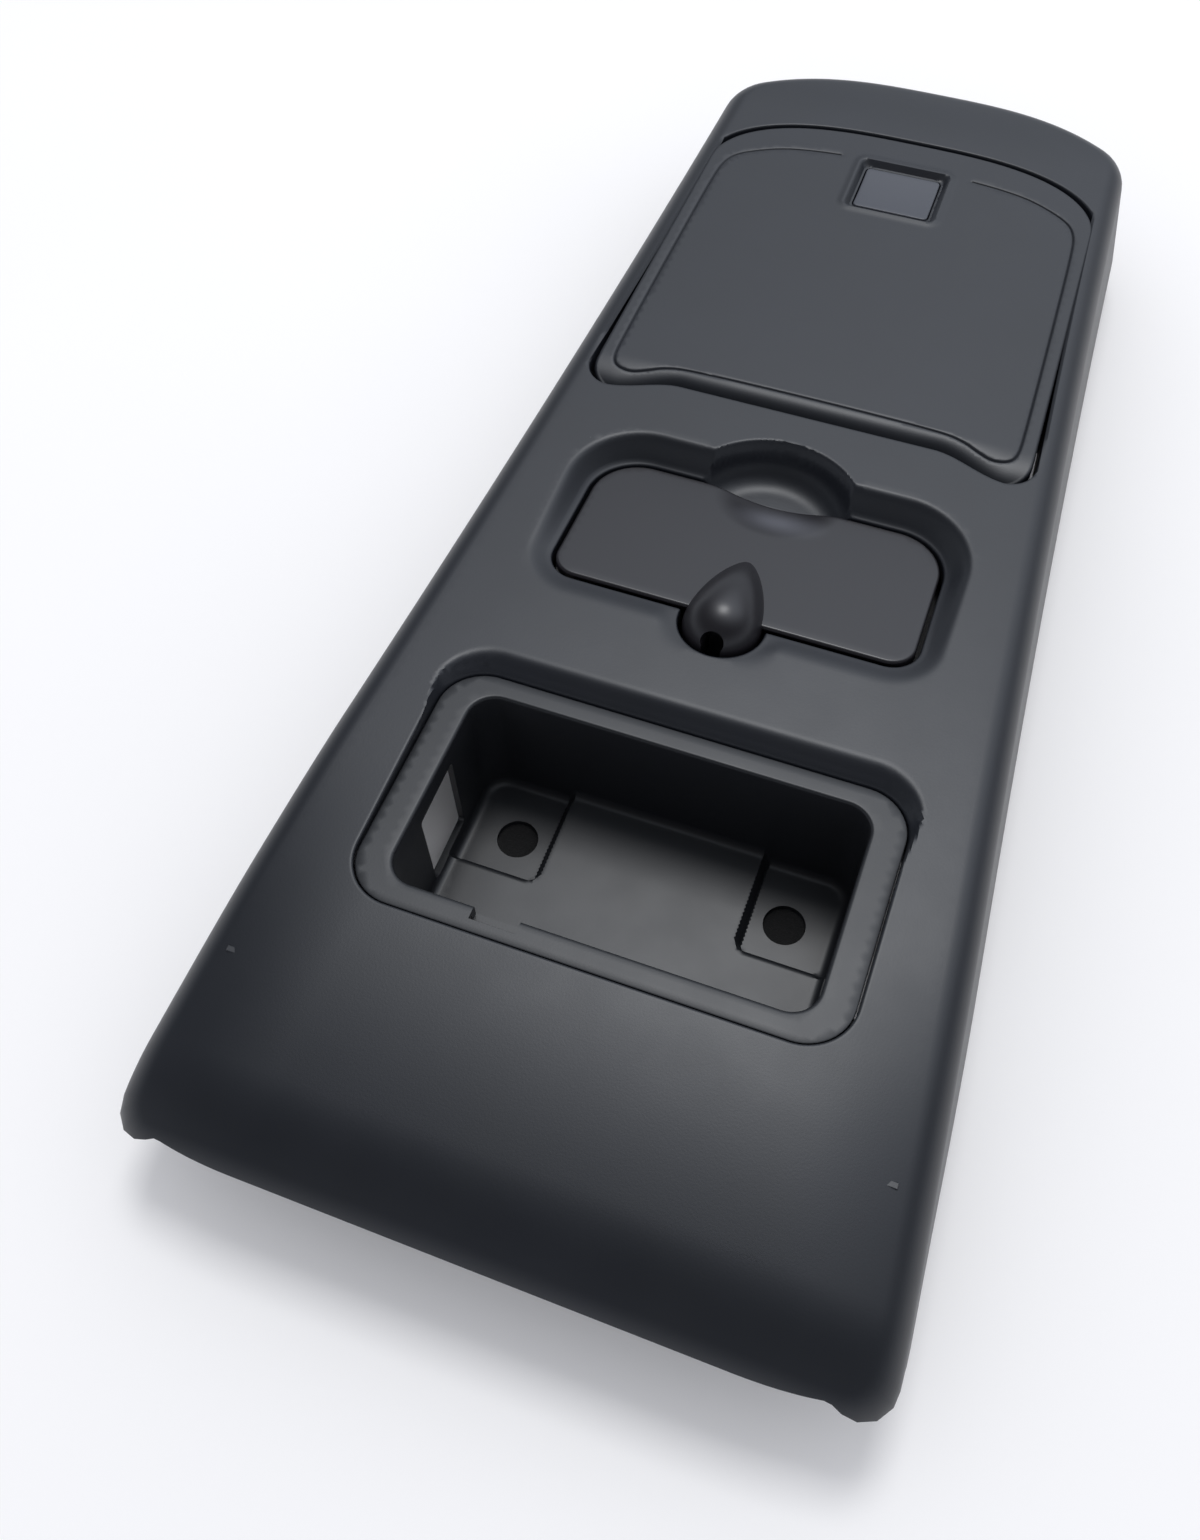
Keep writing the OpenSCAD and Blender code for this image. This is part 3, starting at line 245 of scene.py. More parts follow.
FACE = 60.0                     # the level face above what the console rests on
SKIN = 2.6                      # wall of the housing
SHOULDER = 10.0                 # radius between the face and the side walls
DRAFT = math.radians(10)        # lean of the side walls
FRONT_Y = -260.3                # edge of the wide end
END_Y = 207.0                   # where the narrow end starts to bulge
END_BULGE = 49.3                # reach of that bulge in its middle
END_ROUND = 23.5                # how far its corners fall back
NARROW_Y = 184.4                # where the housing is NARROW_HALF wide to each side
NARROW_HALF = 88.6
TAPER_RUN = 392.0               # length on which each side widens by TAPER_WIDEN
TAPER_WIDEN = 24.6
FRONT_ROLL_Y = -172.0           # from here the face rolls down towards the wide end, by FRONT_DROP
FRONT_DROP = 11.0
LIP_ROLL_Y = -238.0             # and from here by LIP_DROP more
LIP_DROP = 4.5
END_ROLL_Y = 222.0              # the same towards the narrow end
END_DROP = 3.0
SIDE_ROLL = 34.0                # width on which the wide end rolls down to its sides, by SIDE_DROP
SIDE_DROP = 4.0
RIM = 44.0                      # depth of the lower rim below the face along the sides
LOBE = 29.0                     # at the two corner lobes
LIP = 20.5                      # and at the bowed edge between them
MOUTH_ROLL = 0.8                # radius at the openings in the face
MOUTH_WALL = 2.25               # width of the deeper wall around them

HINGE_Y = 59.5                  # the door's hinge
HINGE_Z = 52.0
DOOR_HALF = 83.0                # half width of the door at its hinge
DOOR_TAPER = 3.0                # how much less it is at DOOR_SIDE_Y
DOOR_SIDE_Y = 184.4             # where the door's straight sides end
DOOR_BULGE = 32.9               # reach of its bowed far edge
DOOR_EDGE_Y = 51.5              # its near edge, which reaches DOOR_LOBE further at the corners
DOOR_LOBE = 7.5
DOOR_GAP = 1.4                  # gap between door and housing
DOOR_SKIN = 2.4
DOOR_ROLL = 1.2                 # radius of its edges
DOOR_SKIRT = 12.0               # depth of its edge below the face
SKIRT_NOTCH_X = 57.2            # half width of its shorter part between the hinge ears
ARM_X = (53.4, 56.8)            # the door's arms
BUTTON_Y = 185.3
BUTTON_W = 31.0
BUTTON_L = 25.0
RECESS_BOTTOM = FACE - 11       # lower end of the tube that guides the button

AXIS_Y = -48.0                  # the mirror's hinge
AXIS_Z = 55.6
TILT = math.radians(6)          # how much the closed mirror leans
MIRROR_HALF = 63.6              # half width of the mirror
MIRROR_NEAR = 2.6               # its near and far edges from the hinge
MIRROR_REACH = 63.2
MIRROR_GAP = 1.4                # gap between mirror and housing
COVER_RISE = 3.2                # top of its cover above the hinge
COVER_T = 5.2                   # thickness of the cover
COVER_ROLL = 1.1                # radius of its edges
POD_R = 13.4                    # the pod over the hinge: its round end and its reach
POD_REACH = 33.0
NOTCH_R = POD_R + MIRROR_GAP    # the notch in the housing around the pod
LENS_R = 61.5                   # the finger recess: ball radius, depth, and centre beyond the far edge
LENS_DEPTH = 4.1
LENS_BEYOND = 6.6
LENS_RIM = 22.1                 # radius of its edge in plan
SCOOP_Y = 1.7                   # the round scoop in the housing for the finger
SCOOP_R = 34.0
SCOOP_DEPTH = 15.0

POCKET_W = 134.0                # the lamp pocket's inside
POCKET_L = 73.0
POCKET_Y = -135.3
POCKET_SKIN = 2.2
LEDGE_W = 157.0                 # the ledge around its mouth
LEDGE_L = 90.0
LEDGE_Y = -135.7
LEDGE_R = 16.0
LEDGE_T = 2.4
LEDGE_TILT = math.radians(2.6)
LEDGE_END = LEDGE_Y + LEDGE_L / 2
POCKET_LOW = 2.4                # the pocket's floor in its two wells
POCKET_RISE = 5.0               # how much higher the floor lies elsewhere
WELL_X = 34.5                   # inner edges of the wells
WELL_Y = -137.0
FIXING_X = 48.5                 # the fixing holes
FIXING_Y = -120.5
FIXING_R = 7.25
WINDOW = (24, 39, 1.5)          # windows in the pocket's sides: width, height and corner radius
WINDOW_Y = -135
WINDOW_Z = 28.5

BIN_BOSSES = [(50, 37.5), (56, 226)]      # screw places to the right, each mirrored to the left
POCKET_EARS = [(92, -166), (92, -98)]
CASE_BOSSES = [(82, -28), (80, 22)]
STRIKER_BOSSES = [(14, 236)]
LINER_POSTS = [(62, 92), (62, 176)]
BIN_SEAT = FACE - 18
EAR_TOP = FACE - 20
EAR_T = 2
CASE_SEAT = FACE - 19
STRIKER_SEAT = FACE - 6
CLIP_YS = (-200, -55)                     # places of the clip towers along the sides


def smooth(s):
    """A smooth step from 0 to 1."""
    s = np.clip(s, 0, 1)
    return s * s * (3 - 2 * s)


def blend(a, b, s):
    """The value that lies a share of the way from a to b."""
    return a + (b - a) * s


def soft_min(a, b, width):
    """The lower of two heights, with a fillet about this wide where they meet."""
    h = np.clip(0.5 + 0.5 * (b - a) / width, 0, 1)
    return b + (a - b) * h - width * h * (1 - h)


def corner_rise(x, half, r):
    """Rise of a quarter circle of radius r over its last stretch before the edge."""
    t = np.clip((np.abs(x) - half + r) / r, 0, 1)
    return r * (1 - np.sqrt(1 - t * t))


def half_w(y):
    """Half width of the housing."""
    t = (NARROW_Y - y) / TAPER_RUN
    return NARROW_HALF + TAPER_WIDEN * (0.67 * t + 0.33 * t * t)


def face_height(x, y):
    """The face, level in its middle, rolling down towards both ends and the wide end's sides."""
    front = np.maximum(0, FRONT_ROLL_Y - y) / (FRONT_ROLL_Y - FRONT_Y)
    lip = np.maximum(0, LIP_ROLL_Y - y) / (LIP_ROLL_Y - FRONT_Y)
    end = np.maximum(0, y - END_ROLL_Y) / (END_Y + END_BULGE - END_ROLL_Y)
    side = np.maximum(0, np.abs(x) - half_w(y) + SHOULDER + SIDE_ROLL) / SIDE_ROLL
    return (FACE - FRONT_DROP * front ** 2 - LIP_DROP * lip ** 2 - END_DROP * end ** 2
            - SIDE_DROP * side ** 2 * smooth((-120 - y) / 110))


def loop(place, spacing):
    """Walks once round a sheet place(u, v), anticlockwise, at even steps."""
    dense = 1 - np.cos(np.linspace(0, math.pi, 1500))
    edge = [place(u - 1, 0.0) for u in dense] + [place(1.0, v / 2) for v in dense[1:]]
    edge += [place(1 - u, 1.0) for u in dense[1:]] + [place(-1.0, 1 - v / 2) for v in dense[1:-1]]
    return even(np.array(edge, float), spacing)


def even(points, spacing):
    """A closed line of points, walked again at even steps."""
    ring = np.vstack([points, points[:1]])
    run = np.concatenate([[0], np.cumsum(np.hypot(*np.diff(ring, axis=0).T))])
    at = np.linspace(0, run[-1], max(8, int(run[-1] / spacing)), endpoint=False)
    return np.column_stack([np.interp(at, run, ring[:, k]) for k in (0, 1)])


def moved_out(points, out):
    """A closed line moved outwards by a distance, one for all or one for each point."""
    t = np.roll(points, -1, 0) - np.roll(points, 1, 0)
    t /= np.hypot(t[:, 0], t[:, 1])[:, None]
    return points + np.column_stack([t[:, 1], -t[:, 0]]) * np.reshape(out, (-1, 1))


def rounded_rectangle(w, l, r, mid_y, spacing):
    """A rectangle with round corners, anticlockwise."""
    points = []
    for k, (sx, sy) in enumerate([(1, -1), (1, 1), (-1, 1), (-1, -1)]):
        for a in np.linspace(-90 + 90 * k, 90 * k, 24):
            a = math.radians(a)
            points.append((sx * (w / 2 - r) + r * math.cos(a), mid_y + sy * (l / 2 - r) + r * math.sin(a)))
    return even(np.array(points), spacing)


def inside(line, p):
    """Which points lie inside a closed line."""
    a, b = line, np.roll(line, -1, 0)
    hit = np.zeros(len(p), bool)
    for (ax, ay), (bx, by) in zip(a, b):
        if ay != by:
            cross = (ay > p[:, 1]) != (by > p[:, 1])
            hit ^= cross & (p[:, 0] < (bx - ax) * (p[:, 1] - ay) / (by - ay) + ax)
    return hit


def distance(line, p):
    """How far points lie outside a closed line, less than nothing inside it."""
    best = np.full(len(p), 1e9)
    for a, b in zip(line, np.roll(line, -1, 0)):
        ab = b - a
        t = np.clip(((p - a) @ ab) / max(ab @ ab, 1e-12), 0, 1)
        best = np.minimum(best, np.hypot(*(p - a - t[:, None] * ab).T))
    return np.where(inside(line, p), -best, best)


def grid(x, y, step):
    """Points in staggered rows over a box."""
    rows = []
    for k, row_y in enumerate(np.arange(y[0], y[1], step * 0.87)):
        row_x = np.arange(x[0] + (k % 2) * step / 2, x[1], step)
        rows.append(np.column_stack([row_x, np.full(len(row_x), row_y)]))
    return np.vstack(rows)


def sided(side, x0, x1):
    """A range in x on the right, with side 1, or mirrored to the left, with side -1."""
    return sorted((side * x0, side * x1))


def sheet(outer, holes, points):
    """A triangle mesh in plan between an outer line and its holes, through the given points."""
    loops = [outer] + holes
    p = np.vstack(loops + [points])
    edges, ids, start = [], [], 0
    for line in loops:
        n = len(line)
        edges += [(start + i, start + (i + 1) % n) for i in range(n)]
        ids.append(np.arange(start, start + n))
        start += n
    xy, _, faces, origin, _, _ = delaunay_2d_cdt([Vector(q) for q in p], edges, [], 0, 1e-5)
    xy = np.array(xy)
    place = {first: i for i, found in enumerate(origin) for first in found}
    ids = [np.array([place[i] for i in line]) for line in ids]
    faces = np.array([f for f in faces if len(f) == 3])
    mid = xy[faces].mean(1)
    keep = inside(outer, mid)
    for hole in holes:
        keep &= ~inside(hole, mid)
    return xy, faces[keep], ids


class Mesh:
    """Gathers points and faces in millimetres, and makes a piece of them."""

    def __init__(self):
        self.points, self.faces = [], []

    def ring(self, xy, z):
        """Adds points at heights and returns their numbers."""
        start = len(self.points)
        z = np.broadcast_to(z, (len(xy),))
        self.points += [(float(a), float(b), float(c)) for (a, b), c in zip(xy, z)]
        return np.arange(start, start + len(xy))

    def bridge(self, a, b):
        """Joins two closed rings of points that match one to one."""
        for i in range(len(a)):
            j = (i + 1) % len(a)
            self.faces.append((int(a[i]), int(b[i]), int(b[j]), int(a[j])))

    def chain(self, rings):
        """Joins each ring to the next."""
        for a, b in zip(rings, rings[1:]):
            self.bridge(a, b)

    def cap(self, *rings):
        """Closes rings with flat faces."""
        self.faces += [tuple(int(i) for i in ring) for ring in rings]

    def rolled_edge(self, line, height, r, steps, low=-1e3):
        """Rings of a rounded edge, outwards and down from a line."""
        turns = np.linspace(0, math.pi / 2, steps)[1:]
        return [self.ring(moved_out(line, r * math.sin(a)), np.maximum(height - r * (1 - math.cos(a)), low))
                for a in turns]

    def spread(self, ids, faces, flip=False):
        """Adds a sheet's triangles over points that are already there."""
        for f in ids[faces]:
            f = [int(i) for i in f]
            self.faces.append(tuple(reversed(f)) if flip else tuple(f))

    def tube(self, x, y, outer, hole, low, high, hole_high=None, sides=40):
        """An upright boss with a blind hole from below."""
        a = np.linspace(0, 2 * math.pi, sides, endpoint=False)
        circle = np.column_stack([np.cos(a), np.sin(a)])
        at = np.array([x, y])
        top = self.ring(at + circle * outer, high)
        bottom = self.ring(at + circle * outer, low + 0.3)
        edge = self.ring(at + circle * (outer - 0.3), low)
        mouth = self.ring(at + circle * hole, low)
        end = self.ring(at + circle * hole, hole_high if hole_high is not None else high - 2)
        self.chain([top, bottom, edge, mouth, end])
        self.cap(top, end)

    def block(self, low, high, soft=0.25):
        """A moulded rib or plate with its upright edges eased."""
        (x0, y0, z0), (x1, y1, z1) = low, high
        line = np.array([(x0 + soft, y0), (x1 - soft, y0), (x1, y0 + soft), (x1, y1 - soft),
                         (x1 - soft, y1), (x0 + soft, y1), (x0, y1 - soft), (x0, y0 + soft)])
        rings = [self.ring(moved_out(line, -soft), z0), self.ring(line, z0 + soft),
                 self.ring(line, z1 - soft), self.ring(moved_out(line, -soft), z1)]
        self.chain(rings)
        self.cap(rings[0], rings[-1])

    def piece(self, name, material, body, slot, nodes, turn=None, sharp=32):
        """Makes the object, in metres, and rides it on its body in place of its CAD nodes."""
        mesh = bpy.data.meshes.new(name)
        mesh.from_pydata([tuple(c / 1000 for c in p) for p in self.points], [], self.faces)
        bm = bmesh.new()
        bm.from_mesh(mesh)
        bmesh.ops.delete(bm, geom=[v for v in bm.verts if not v.link_faces], context="VERTS")
        bmesh.ops.recalc_face_normals(bm, faces=bm.faces)
        if turn is not None:
            bmesh.ops.transform(bm, matrix=turn, verts=bm.verts)
        finish_mesh(bm, mesh, sharp)
        piece = bpy.data.objects.new(name, mesh)
        bpy.context.scene.collection.objects.link(piece)
        mesh.materials.append(material)
        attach(piece, body)
        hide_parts(*nodes)
        return piece


def finish_mesh(bm, mesh, sharp):
    """Shades faces smooth except across edges steeper than an angle in degrees."""
    for face in bm.faces:
        face.smooth = True
    for edge in bm.edges:
        edge.smooth = len(edge.link_faces) != 2 or edge.calc_face_angle(0) < math.radians(sharp)
    bm.to_mesh(mesh)
    bm.free()


# The housing

def face_place(u, v):
    """The face in plan, inside its shoulder: u across from -1 to 1, v along from the wide end."""
    half = half_w(FRONT_Y) - SHOULDER
    front = FRONT_Y + corner_rise(u * half, half, 6)
    end = END_Y + END_BULGE - END_ROUND * abs(u) ** 3 - corner_rise(u * half, half, 7)
    y = blend(front, end, v)
    return u * (half_w(y) - SHOULDER), y


def door_half_at(y):
    """Half width of the door."""
    return DOOR_HALF - DOOR_TAPER * (y - HINGE_Y) / (DOOR_SIDE_Y - HINGE_Y)


def in_lobe(x):
    """How far a place across the door lies in one of its corner lobes, from 0 to 1."""
    return smooth((np.abs(x) - 48) / 28)


def door_place(u, v, inset=0.0):
    """The door in plan: u across from -1 to 1, v along from its hinge edge."""
    x = u * (DOOR_HALF - inset)
    front = DOOR_EDGE_Y - DOOR_LOBE * in_lobe(x) + inset + corner_rise(x, DOOR_HALF - inset, 9)
    y = blend(front, DOOR_SIDE_Y - inset + DOOR_BULGE * math.sqrt(max(0.0, 1 - abs(u) ** 3)), v)
    return u * (door_half_at(y) - inset), y


def mirror_place(u, v):
    """The mirror in its own plane, from its hinge: u across from -1 to 1, v away from the hinge."""
    x = u * MIRROR_HALF
    near = MIRROR_NEAR + corner_rise(x, MIRROR_HALF, 9)
    return x, blend(near, MIRROR_REACH - corner_rise(x, MIRROR_HALF, 18), v)


def from_scoop(p):
    """How far points lie from the middle of the finger scoop."""
    return np.hypot(p[:, 0], p[:, 1] - SCOOP_Y)


def scoop_height(p):
    """The round finger scoop: a bowl with steep sides."""
    a = np.linspace(0, math.pi / 2, 12)
    rs = np.concatenate([[0], SCOOP_R - 12 + 10 * np.sin(a), [SCOOP_R - 0.4, SCOOP_R + 0.6, SCOOP_R + 8]])
    zs = np.concatenate([[-SCOOP_DEPTH], -SCOOP_DEPTH + 11 * (1 - np.cos(a)), [-1.2, 0.6, 20]])
    return FACE + np.interp(from_scoop(p), rs, zs)


def ledge_height(y):
    """The plane of the lamp ledge, deepest towards the narrow end."""
    return FACE - 1 - (y - (LEDGE_Y - LEDGE_L / 2)) * math.tan(LEDGE_TILT)


def round_corner(past, r):
    """How far points lie outside a corner of radius r, from how far they are past its two straight edges."""
    return np.hypot(*np.maximum(past, 0).T) + np.minimum(past.max(1), 0) - r


def ring_distance(p, w, l, r, mid_y):
    """How far points lie outside a rounded rectangle."""
    return round_corner(np.abs(p - [0, mid_y]) - np.array([w / 2 - r, l / 2 - r]), r)


def well_height(p):
    """The well around the lamp ledge, with its sloped wall towards the narrow end."""
    low, high = ledge_height(LEDGE_END) + 0.4, FACE + 0.6
    z = np.full(len(p), 1e3)
    near = (np.abs(p[:, 0]) < LEDGE_W / 2 + 3) & (np.abs(p[:, 1] - LEDGE_Y - 3.5) < LEDGE_L / 2 + 8)
    q = p[near]
    best = np.full(len(q), 1.35)
    for t in np.linspace(1.35, 0, 55):
        r = LEDGE_R + 2 * t
        mid = np.array([0, LEDGE_Y + 3.5 * t])
        wide = LEDGE_W / 2 - r + 2.2 * t * smooth((q[:, 1] - LEDGE_Y - LEDGE_L / 2 + 32) / 26)
        past = np.abs(q - mid) - np.column_stack([wide, np.full(len(q), LEDGE_L / 2 + 3.5 * t - r)])
        best = np.where(round_corner(past, r) <= 0, t, best)
    z[near] = blend(low, high, best)
    z[near] = np.where(best >= 1.35, 1e3, z[near])
    return z


def rim_height(p):
    """Height of the lower rim: bowed between the lobes at the wide end, deeper along the sides."""
    side = blend(LOBE, RIM, smooth((p[:, 1] - FRONT_Y - 30) / 90))
    bow_half = half_w(FRONT_Y) - 19
    bow = blend(LIP, LOBE, smooth((np.abs(p[:, 0]) - bow_half) / 12))
    return FACE - np.where(p[:, 1] < FRONT_Y + 12, np.minimum(side, bow), side)


def mirror_opening(laid):
    """The opening around the mirror's outline, with the round notch for its pod."""
    opening = moved_out(laid, MIRROR_GAP)
    near_y = opening[:, 1].min()
    reach = math.sqrt(NOTCH_R ** 2 - (near_y - AXIS_Y) ** 2)
    in_notch = (np.abs(opening[:, 0]) < reach) & (opening[:, 1] < AXIS_Y + 20)
    first = int(np.where(in_notch)[0][0])
    rest = np.roll(opening, -first, 0)[np.roll(in_notch, -first).sum():]
    start = math.atan2(near_y - AXIS_Y, -reach)
    stop = math.atan2(near_y - AXIS_Y, reach)
    arc = [(NOTCH_R * math.cos(a), AXIS_Y + NOTCH_R * math.sin(a))
           for a in np.linspace(start, stop + 2 * math.pi if stop < start else stop, 60)]
    return even(np.vstack([rest, arc]), 1.1)


def housing_points(outer, holes, laid):
    """Points to mesh the face through, closest where it bends."""
    base = grid((-115, 115), (-262, 258), 2.8)
    dish = grid((-80, 80), (-66, 32), 1.3)
    scoop = grid((-40, 40), (12, 40), 0.75)
    bowl = grid((-30, 30), (12, 34), 1.3)
    well = grid((-84, 84), (LEDGE_END - 22, LEDGE_END + 12), 1.2)
    to_mirror = distance(laid, dish)
    in_dish = (to_mirror > 0) & (to_mirror < 11)
    dish = dish[in_dish & ~((from_scoop(dish) < 37) & (dish[:, 1] > 12))]
    base = base[(distance(laid, base) > 11) & (from_scoop(base) > 37)
                & ~((np.abs(base[:, 0]) < 84) & (np.abs(base[:, 1] - (LEDGE_END - 5)) < 17))]
    scoop = scoop[(from_scoop(scoop) > 28) & (from_scoop(scoop) < 37)]
    bowl = bowl[from_scoop(bowl) <= 28]
    inner = np.vstack([base, dish, scoop, well, bowl])
    free = distance(outer, inner) < -1.2
    for hole in holes:
        free &= distance(hole, inner) > 2.9
    points = [inner[free]]
    for hole in holes:
        for out in (0.08, 0.25, 0.5, 0.8, 1.3, 2.2, 2.4):
            ring = moved_out(hole, out)
            clear = distance(outer, ring) < -0.6
            for other in holes:
                clear &= distance(other, ring) > 0.03
            points.append(ring[clear])
    return np.vstack(points)


def housing_face(xy, laid):
    """The face with the mirror's recess, the finger scoop and the lamp ledge's well."""
    x, y = xy.T
    flat = face_height(x, y)
    floor = AXIS_Z + COVER_RISE - 0.5 - (y - AXIS_Y) * math.tan(TILT)
    from_mirror = distance(laid, xy)
    z = blend(np.minimum(floor, flat), flat, smooth((from_mirror - 1.6) / 8.4))
    z = np.where(from_mirror < 12, z, flat)
    z = soft_min(z, scoop_height(xy), 0.9)
    z = soft_min(z, well_height(xy), 1.2)
    near_pod = smooth((np.hypot(x, y - AXIS_Y) - NOTCH_R - 1) / 7)
    return blend(np.minimum(z, floor + 0.1), z, near_pod)


def add_bosses(m):
    """Screw bosses for the bin, the lamp pocket, the mirror's case and the striker."""
    for places, seat in ((BIN_BOSSES, BIN_SEAT), (POCKET_EARS, EAR_TOP),
                         (CASE_BOSSES, CASE_SEAT), (STRIKER_BOSSES, STRIKER_SEAT)):
        for px, py in places:
            top = float(face_height(np.array([px]), np.array([py]))[0]) - 1.2
            for s in (-1, 1):
                m.tube(s * px, py, 4.2, 1.5, seat, top, min(seat + 9, top - 1.3))


def add_clip_towers(m):
    """Four towers that the retaining clips sit on, each a wall between two ribs."""
    for py in CLIP_YS:
        px = float(half_w(py)) - 17
        low = FACE - blend(LOBE, RIM, float(smooth((py - FRONT_Y - 30) / 90))) + 6
        high = float(face_height(np.array([px]), np.array([py]))[0]) - 1.4
        for s in (-1, 1):
            x0, x1 = sided(s, px - 1, px + 6)
            for k in (-8, 8):
                m.block((x0, py + k - 1, low), (x1, py + k + 1, high))
            x0, x1 = sided(s, px - 1, px + 1)
            m.block((x0, py - 9, low), (x1, py + 9, high))


def make_housing(material):
    """The housing's whole moulding: face, recesses, walls, rim, collars, bosses and clip towers."""
    outer = loop(face_place, 2.2)
    door = moved_out(loop(door_place, 1.4), DOOR_GAP)
    mirror = loop(mirror_place, 1.2)
    laid = np.column_stack([mirror[:, 0], AXIS_Y + mirror[:, 1] * math.cos(TILT) + 2.7 * math.sin(TILT)])
    opening = mirror_opening(laid)
    ledge = rounded_rectangle(LEDGE_W, LEDGE_L, LEDGE_R, LEDGE_Y, 1.4)
    holes = [door, opening, ledge]
    xy, faces, ids = sheet(outer, holes, housing_points(outer, holes, laid))

    z = housing_face(xy, laid)
    gaps = [distance(hole, xy) for hole in holes]
    near = np.maximum(0, MOUTH_ROLL - np.maximum(np.min(gaps, axis=0), 0))
    top = z - (MOUTH_ROLL - np.sqrt(np.maximum(0, MOUTH_ROLL ** 2 - near ** 2)))
    under = z - SKIN
    under = np.where(gaps[0] <= MOUTH_WALL, np.minimum(under, FACE - 17), under)
    under = np.where(gaps[1] <= MOUTH_WALL, under - 2.5, under)
    under = np.where(gaps[2] <= MOUTH_WALL, under - 3.0, under)
    m = Mesh()
    t = m.ring(xy, top)
    b = m.ring(xy, under)
    m.spread(t, faces)
    m.spread(b, faces, flip=True)
    for hole in ids[1:]:
        m.bridge(t[hole], b[hole])

    edge = face_height(*outer.T)
    rim = rim_height(outer)
    last = math.pi / 2 - DRAFT
    back = moved_out(outer, -1.0)
    start = np.arctan(np.maximum(0, face_height(*back.T) - edge))
    r = SHOULDER * math.sin(last) / (math.sin(last) - np.sin(start))
    stop = np.minimum(last, np.arccos(np.clip(np.cos(start) - (edge - rim - 0.6) / r, -1, 1)))

    def wall(share, skin=0.0):
        """One ring of the shoulder, a share of the way round it, on its outside or its inside."""
        a = blend(start, stop, share)
        return (moved_out(outer, r * (np.sin(a) - np.sin(start)) - skin * np.sin(a)),
                edge - r * (np.cos(start) - np.cos(a)) - skin * np.cos(a))

    rings = [t[ids[0]]] + [m.ring(*wall(k / 14)) for k in range(1, 15)]
    foot_out, foot = wall(1.0)
    low = np.minimum(rim + 0.6, foot)
    for z in (blend(foot, low, 0.5), low):
        rings.append(m.ring(moved_out(foot_out, (foot - z) * math.tan(DRAFT)), z))
    base_out = moved_out(foot_out, (foot - low) * math.tan(DRAFT))
    sunk = np.minimum(0.6, np.maximum(0.05, foot - rim))
    for inset, lift in ((0.18, 0.3), (0.6, 0.0), (2.0, 0.0), (2.42, 0.3), (2.6, 1.0)):
        rings.append(m.ring(moved_out(base_out, -inset), low - sunk * (1 - lift)))
    rings += [m.ring(*wall(k / 8, SKIN)) for k in range(8, 0, -1)]
    m.chain(rings + [b[ids[0]]])
    add_bosses(m)
    add_clip_towers(m)
    m.piece("housing_moulding", material, "housing", "housing", ["console_shell"])


def ring_height(p, small, large, mid_y, low, high):
    """A sloped wall between a small and a large rounded rectangle, as (w, l, r) each."""
    best = np.full(len(p), 1.5)
    for t in np.linspace(1.5, 0, 40):
        w, l, r = (blend(a, b, t) for a, b in zip(small, large))
        best = np.where(ring_distance(p, w, l, r, mid_y) <= 0, t, best)
    return np.where(best >= 1.5, 1e3, blend(low, high, best))


def door_height(x, y):
    """The door's face, rolling over its hinge and over the two corner lobes beside it."""
    lobe = in_lobe(x)
    dy = np.clip((HINGE_Y - y) / blend(8.0, 15.5, lobe), 0, 1)
    return HINGE_Z + lobe + blend(8.0, 7.0, lobe) * np.sqrt(1 - dy * dy)


def rounded_path(points, spacing, rounds=4):
    """An open line with its corners cut round, at even steps."""
    p = np.array(points, float)
    for _ in range(rounds):
        cut = np.empty((2 * len(p) - 2, 2))
        cut[0::2], cut[1::2] = 0.75 * p[:-1] + 0.25 * p[1:], 0.25 * p[:-1] + 0.75 * p[1:]
        p = np.vstack([p[:1], cut, p[-1:]])
    run = np.concatenate([[0], np.cumsum(np.hypot(*np.diff(p, axis=0).T))])
    at = np.linspace(0, run[-1], int(run[-1] / spacing))
    return np.column_stack([np.interp(at, run, p[:, k]) for k in (0, 1)])


def path_distance(line, p):
    """How far points lie from an open line."""
    best = np.full(len(p), 1e9)
    for a, b in zip(line[:-1], line[1:]):
        ab = b - a
        t = np.clip(((p - a) @ ab) / (ab @ ab), 0, 1)
        best = np.minimum(best, np.hypot(*(p - a - t[:, None] * ab).T))
    return best


def prism(outline, x0, x1):
    """A closed solid: an outline in y and z drawn out along x, in millimetres."""
    bm = bmesh.new()
    ends = [[bm.verts.new((x, y, z)) for y, z in outline] for x in (x0, x1)]
    n = len(outline)
    bm.faces.new(ends[0])
    bm.faces.new(list(reversed(ends[1])))
    for i in range(n):
        bm.faces.new([ends[0][i], ends[1][i], ends[1][(i + 1) % n], ends[0][(i + 1) % n]])
    bmesh.ops.recalc_face_normals(bm, faces=bm.faces)
    return bm


def box_outline(y0, y1, z0, z1):
    """A rectangle in y and z."""
    return [(y0, z0), (y1, z0), (y1, z1), (y0, z1)]


def arc_points(y, z, r, start, end, steps):
    """Points of an arc in y and z, angles in degrees."""
    return [(y + r * math.cos(math.radians(a)), z + r * math.sin(math.radians(a)))
            for a in np.linspace(start, end, steps)]


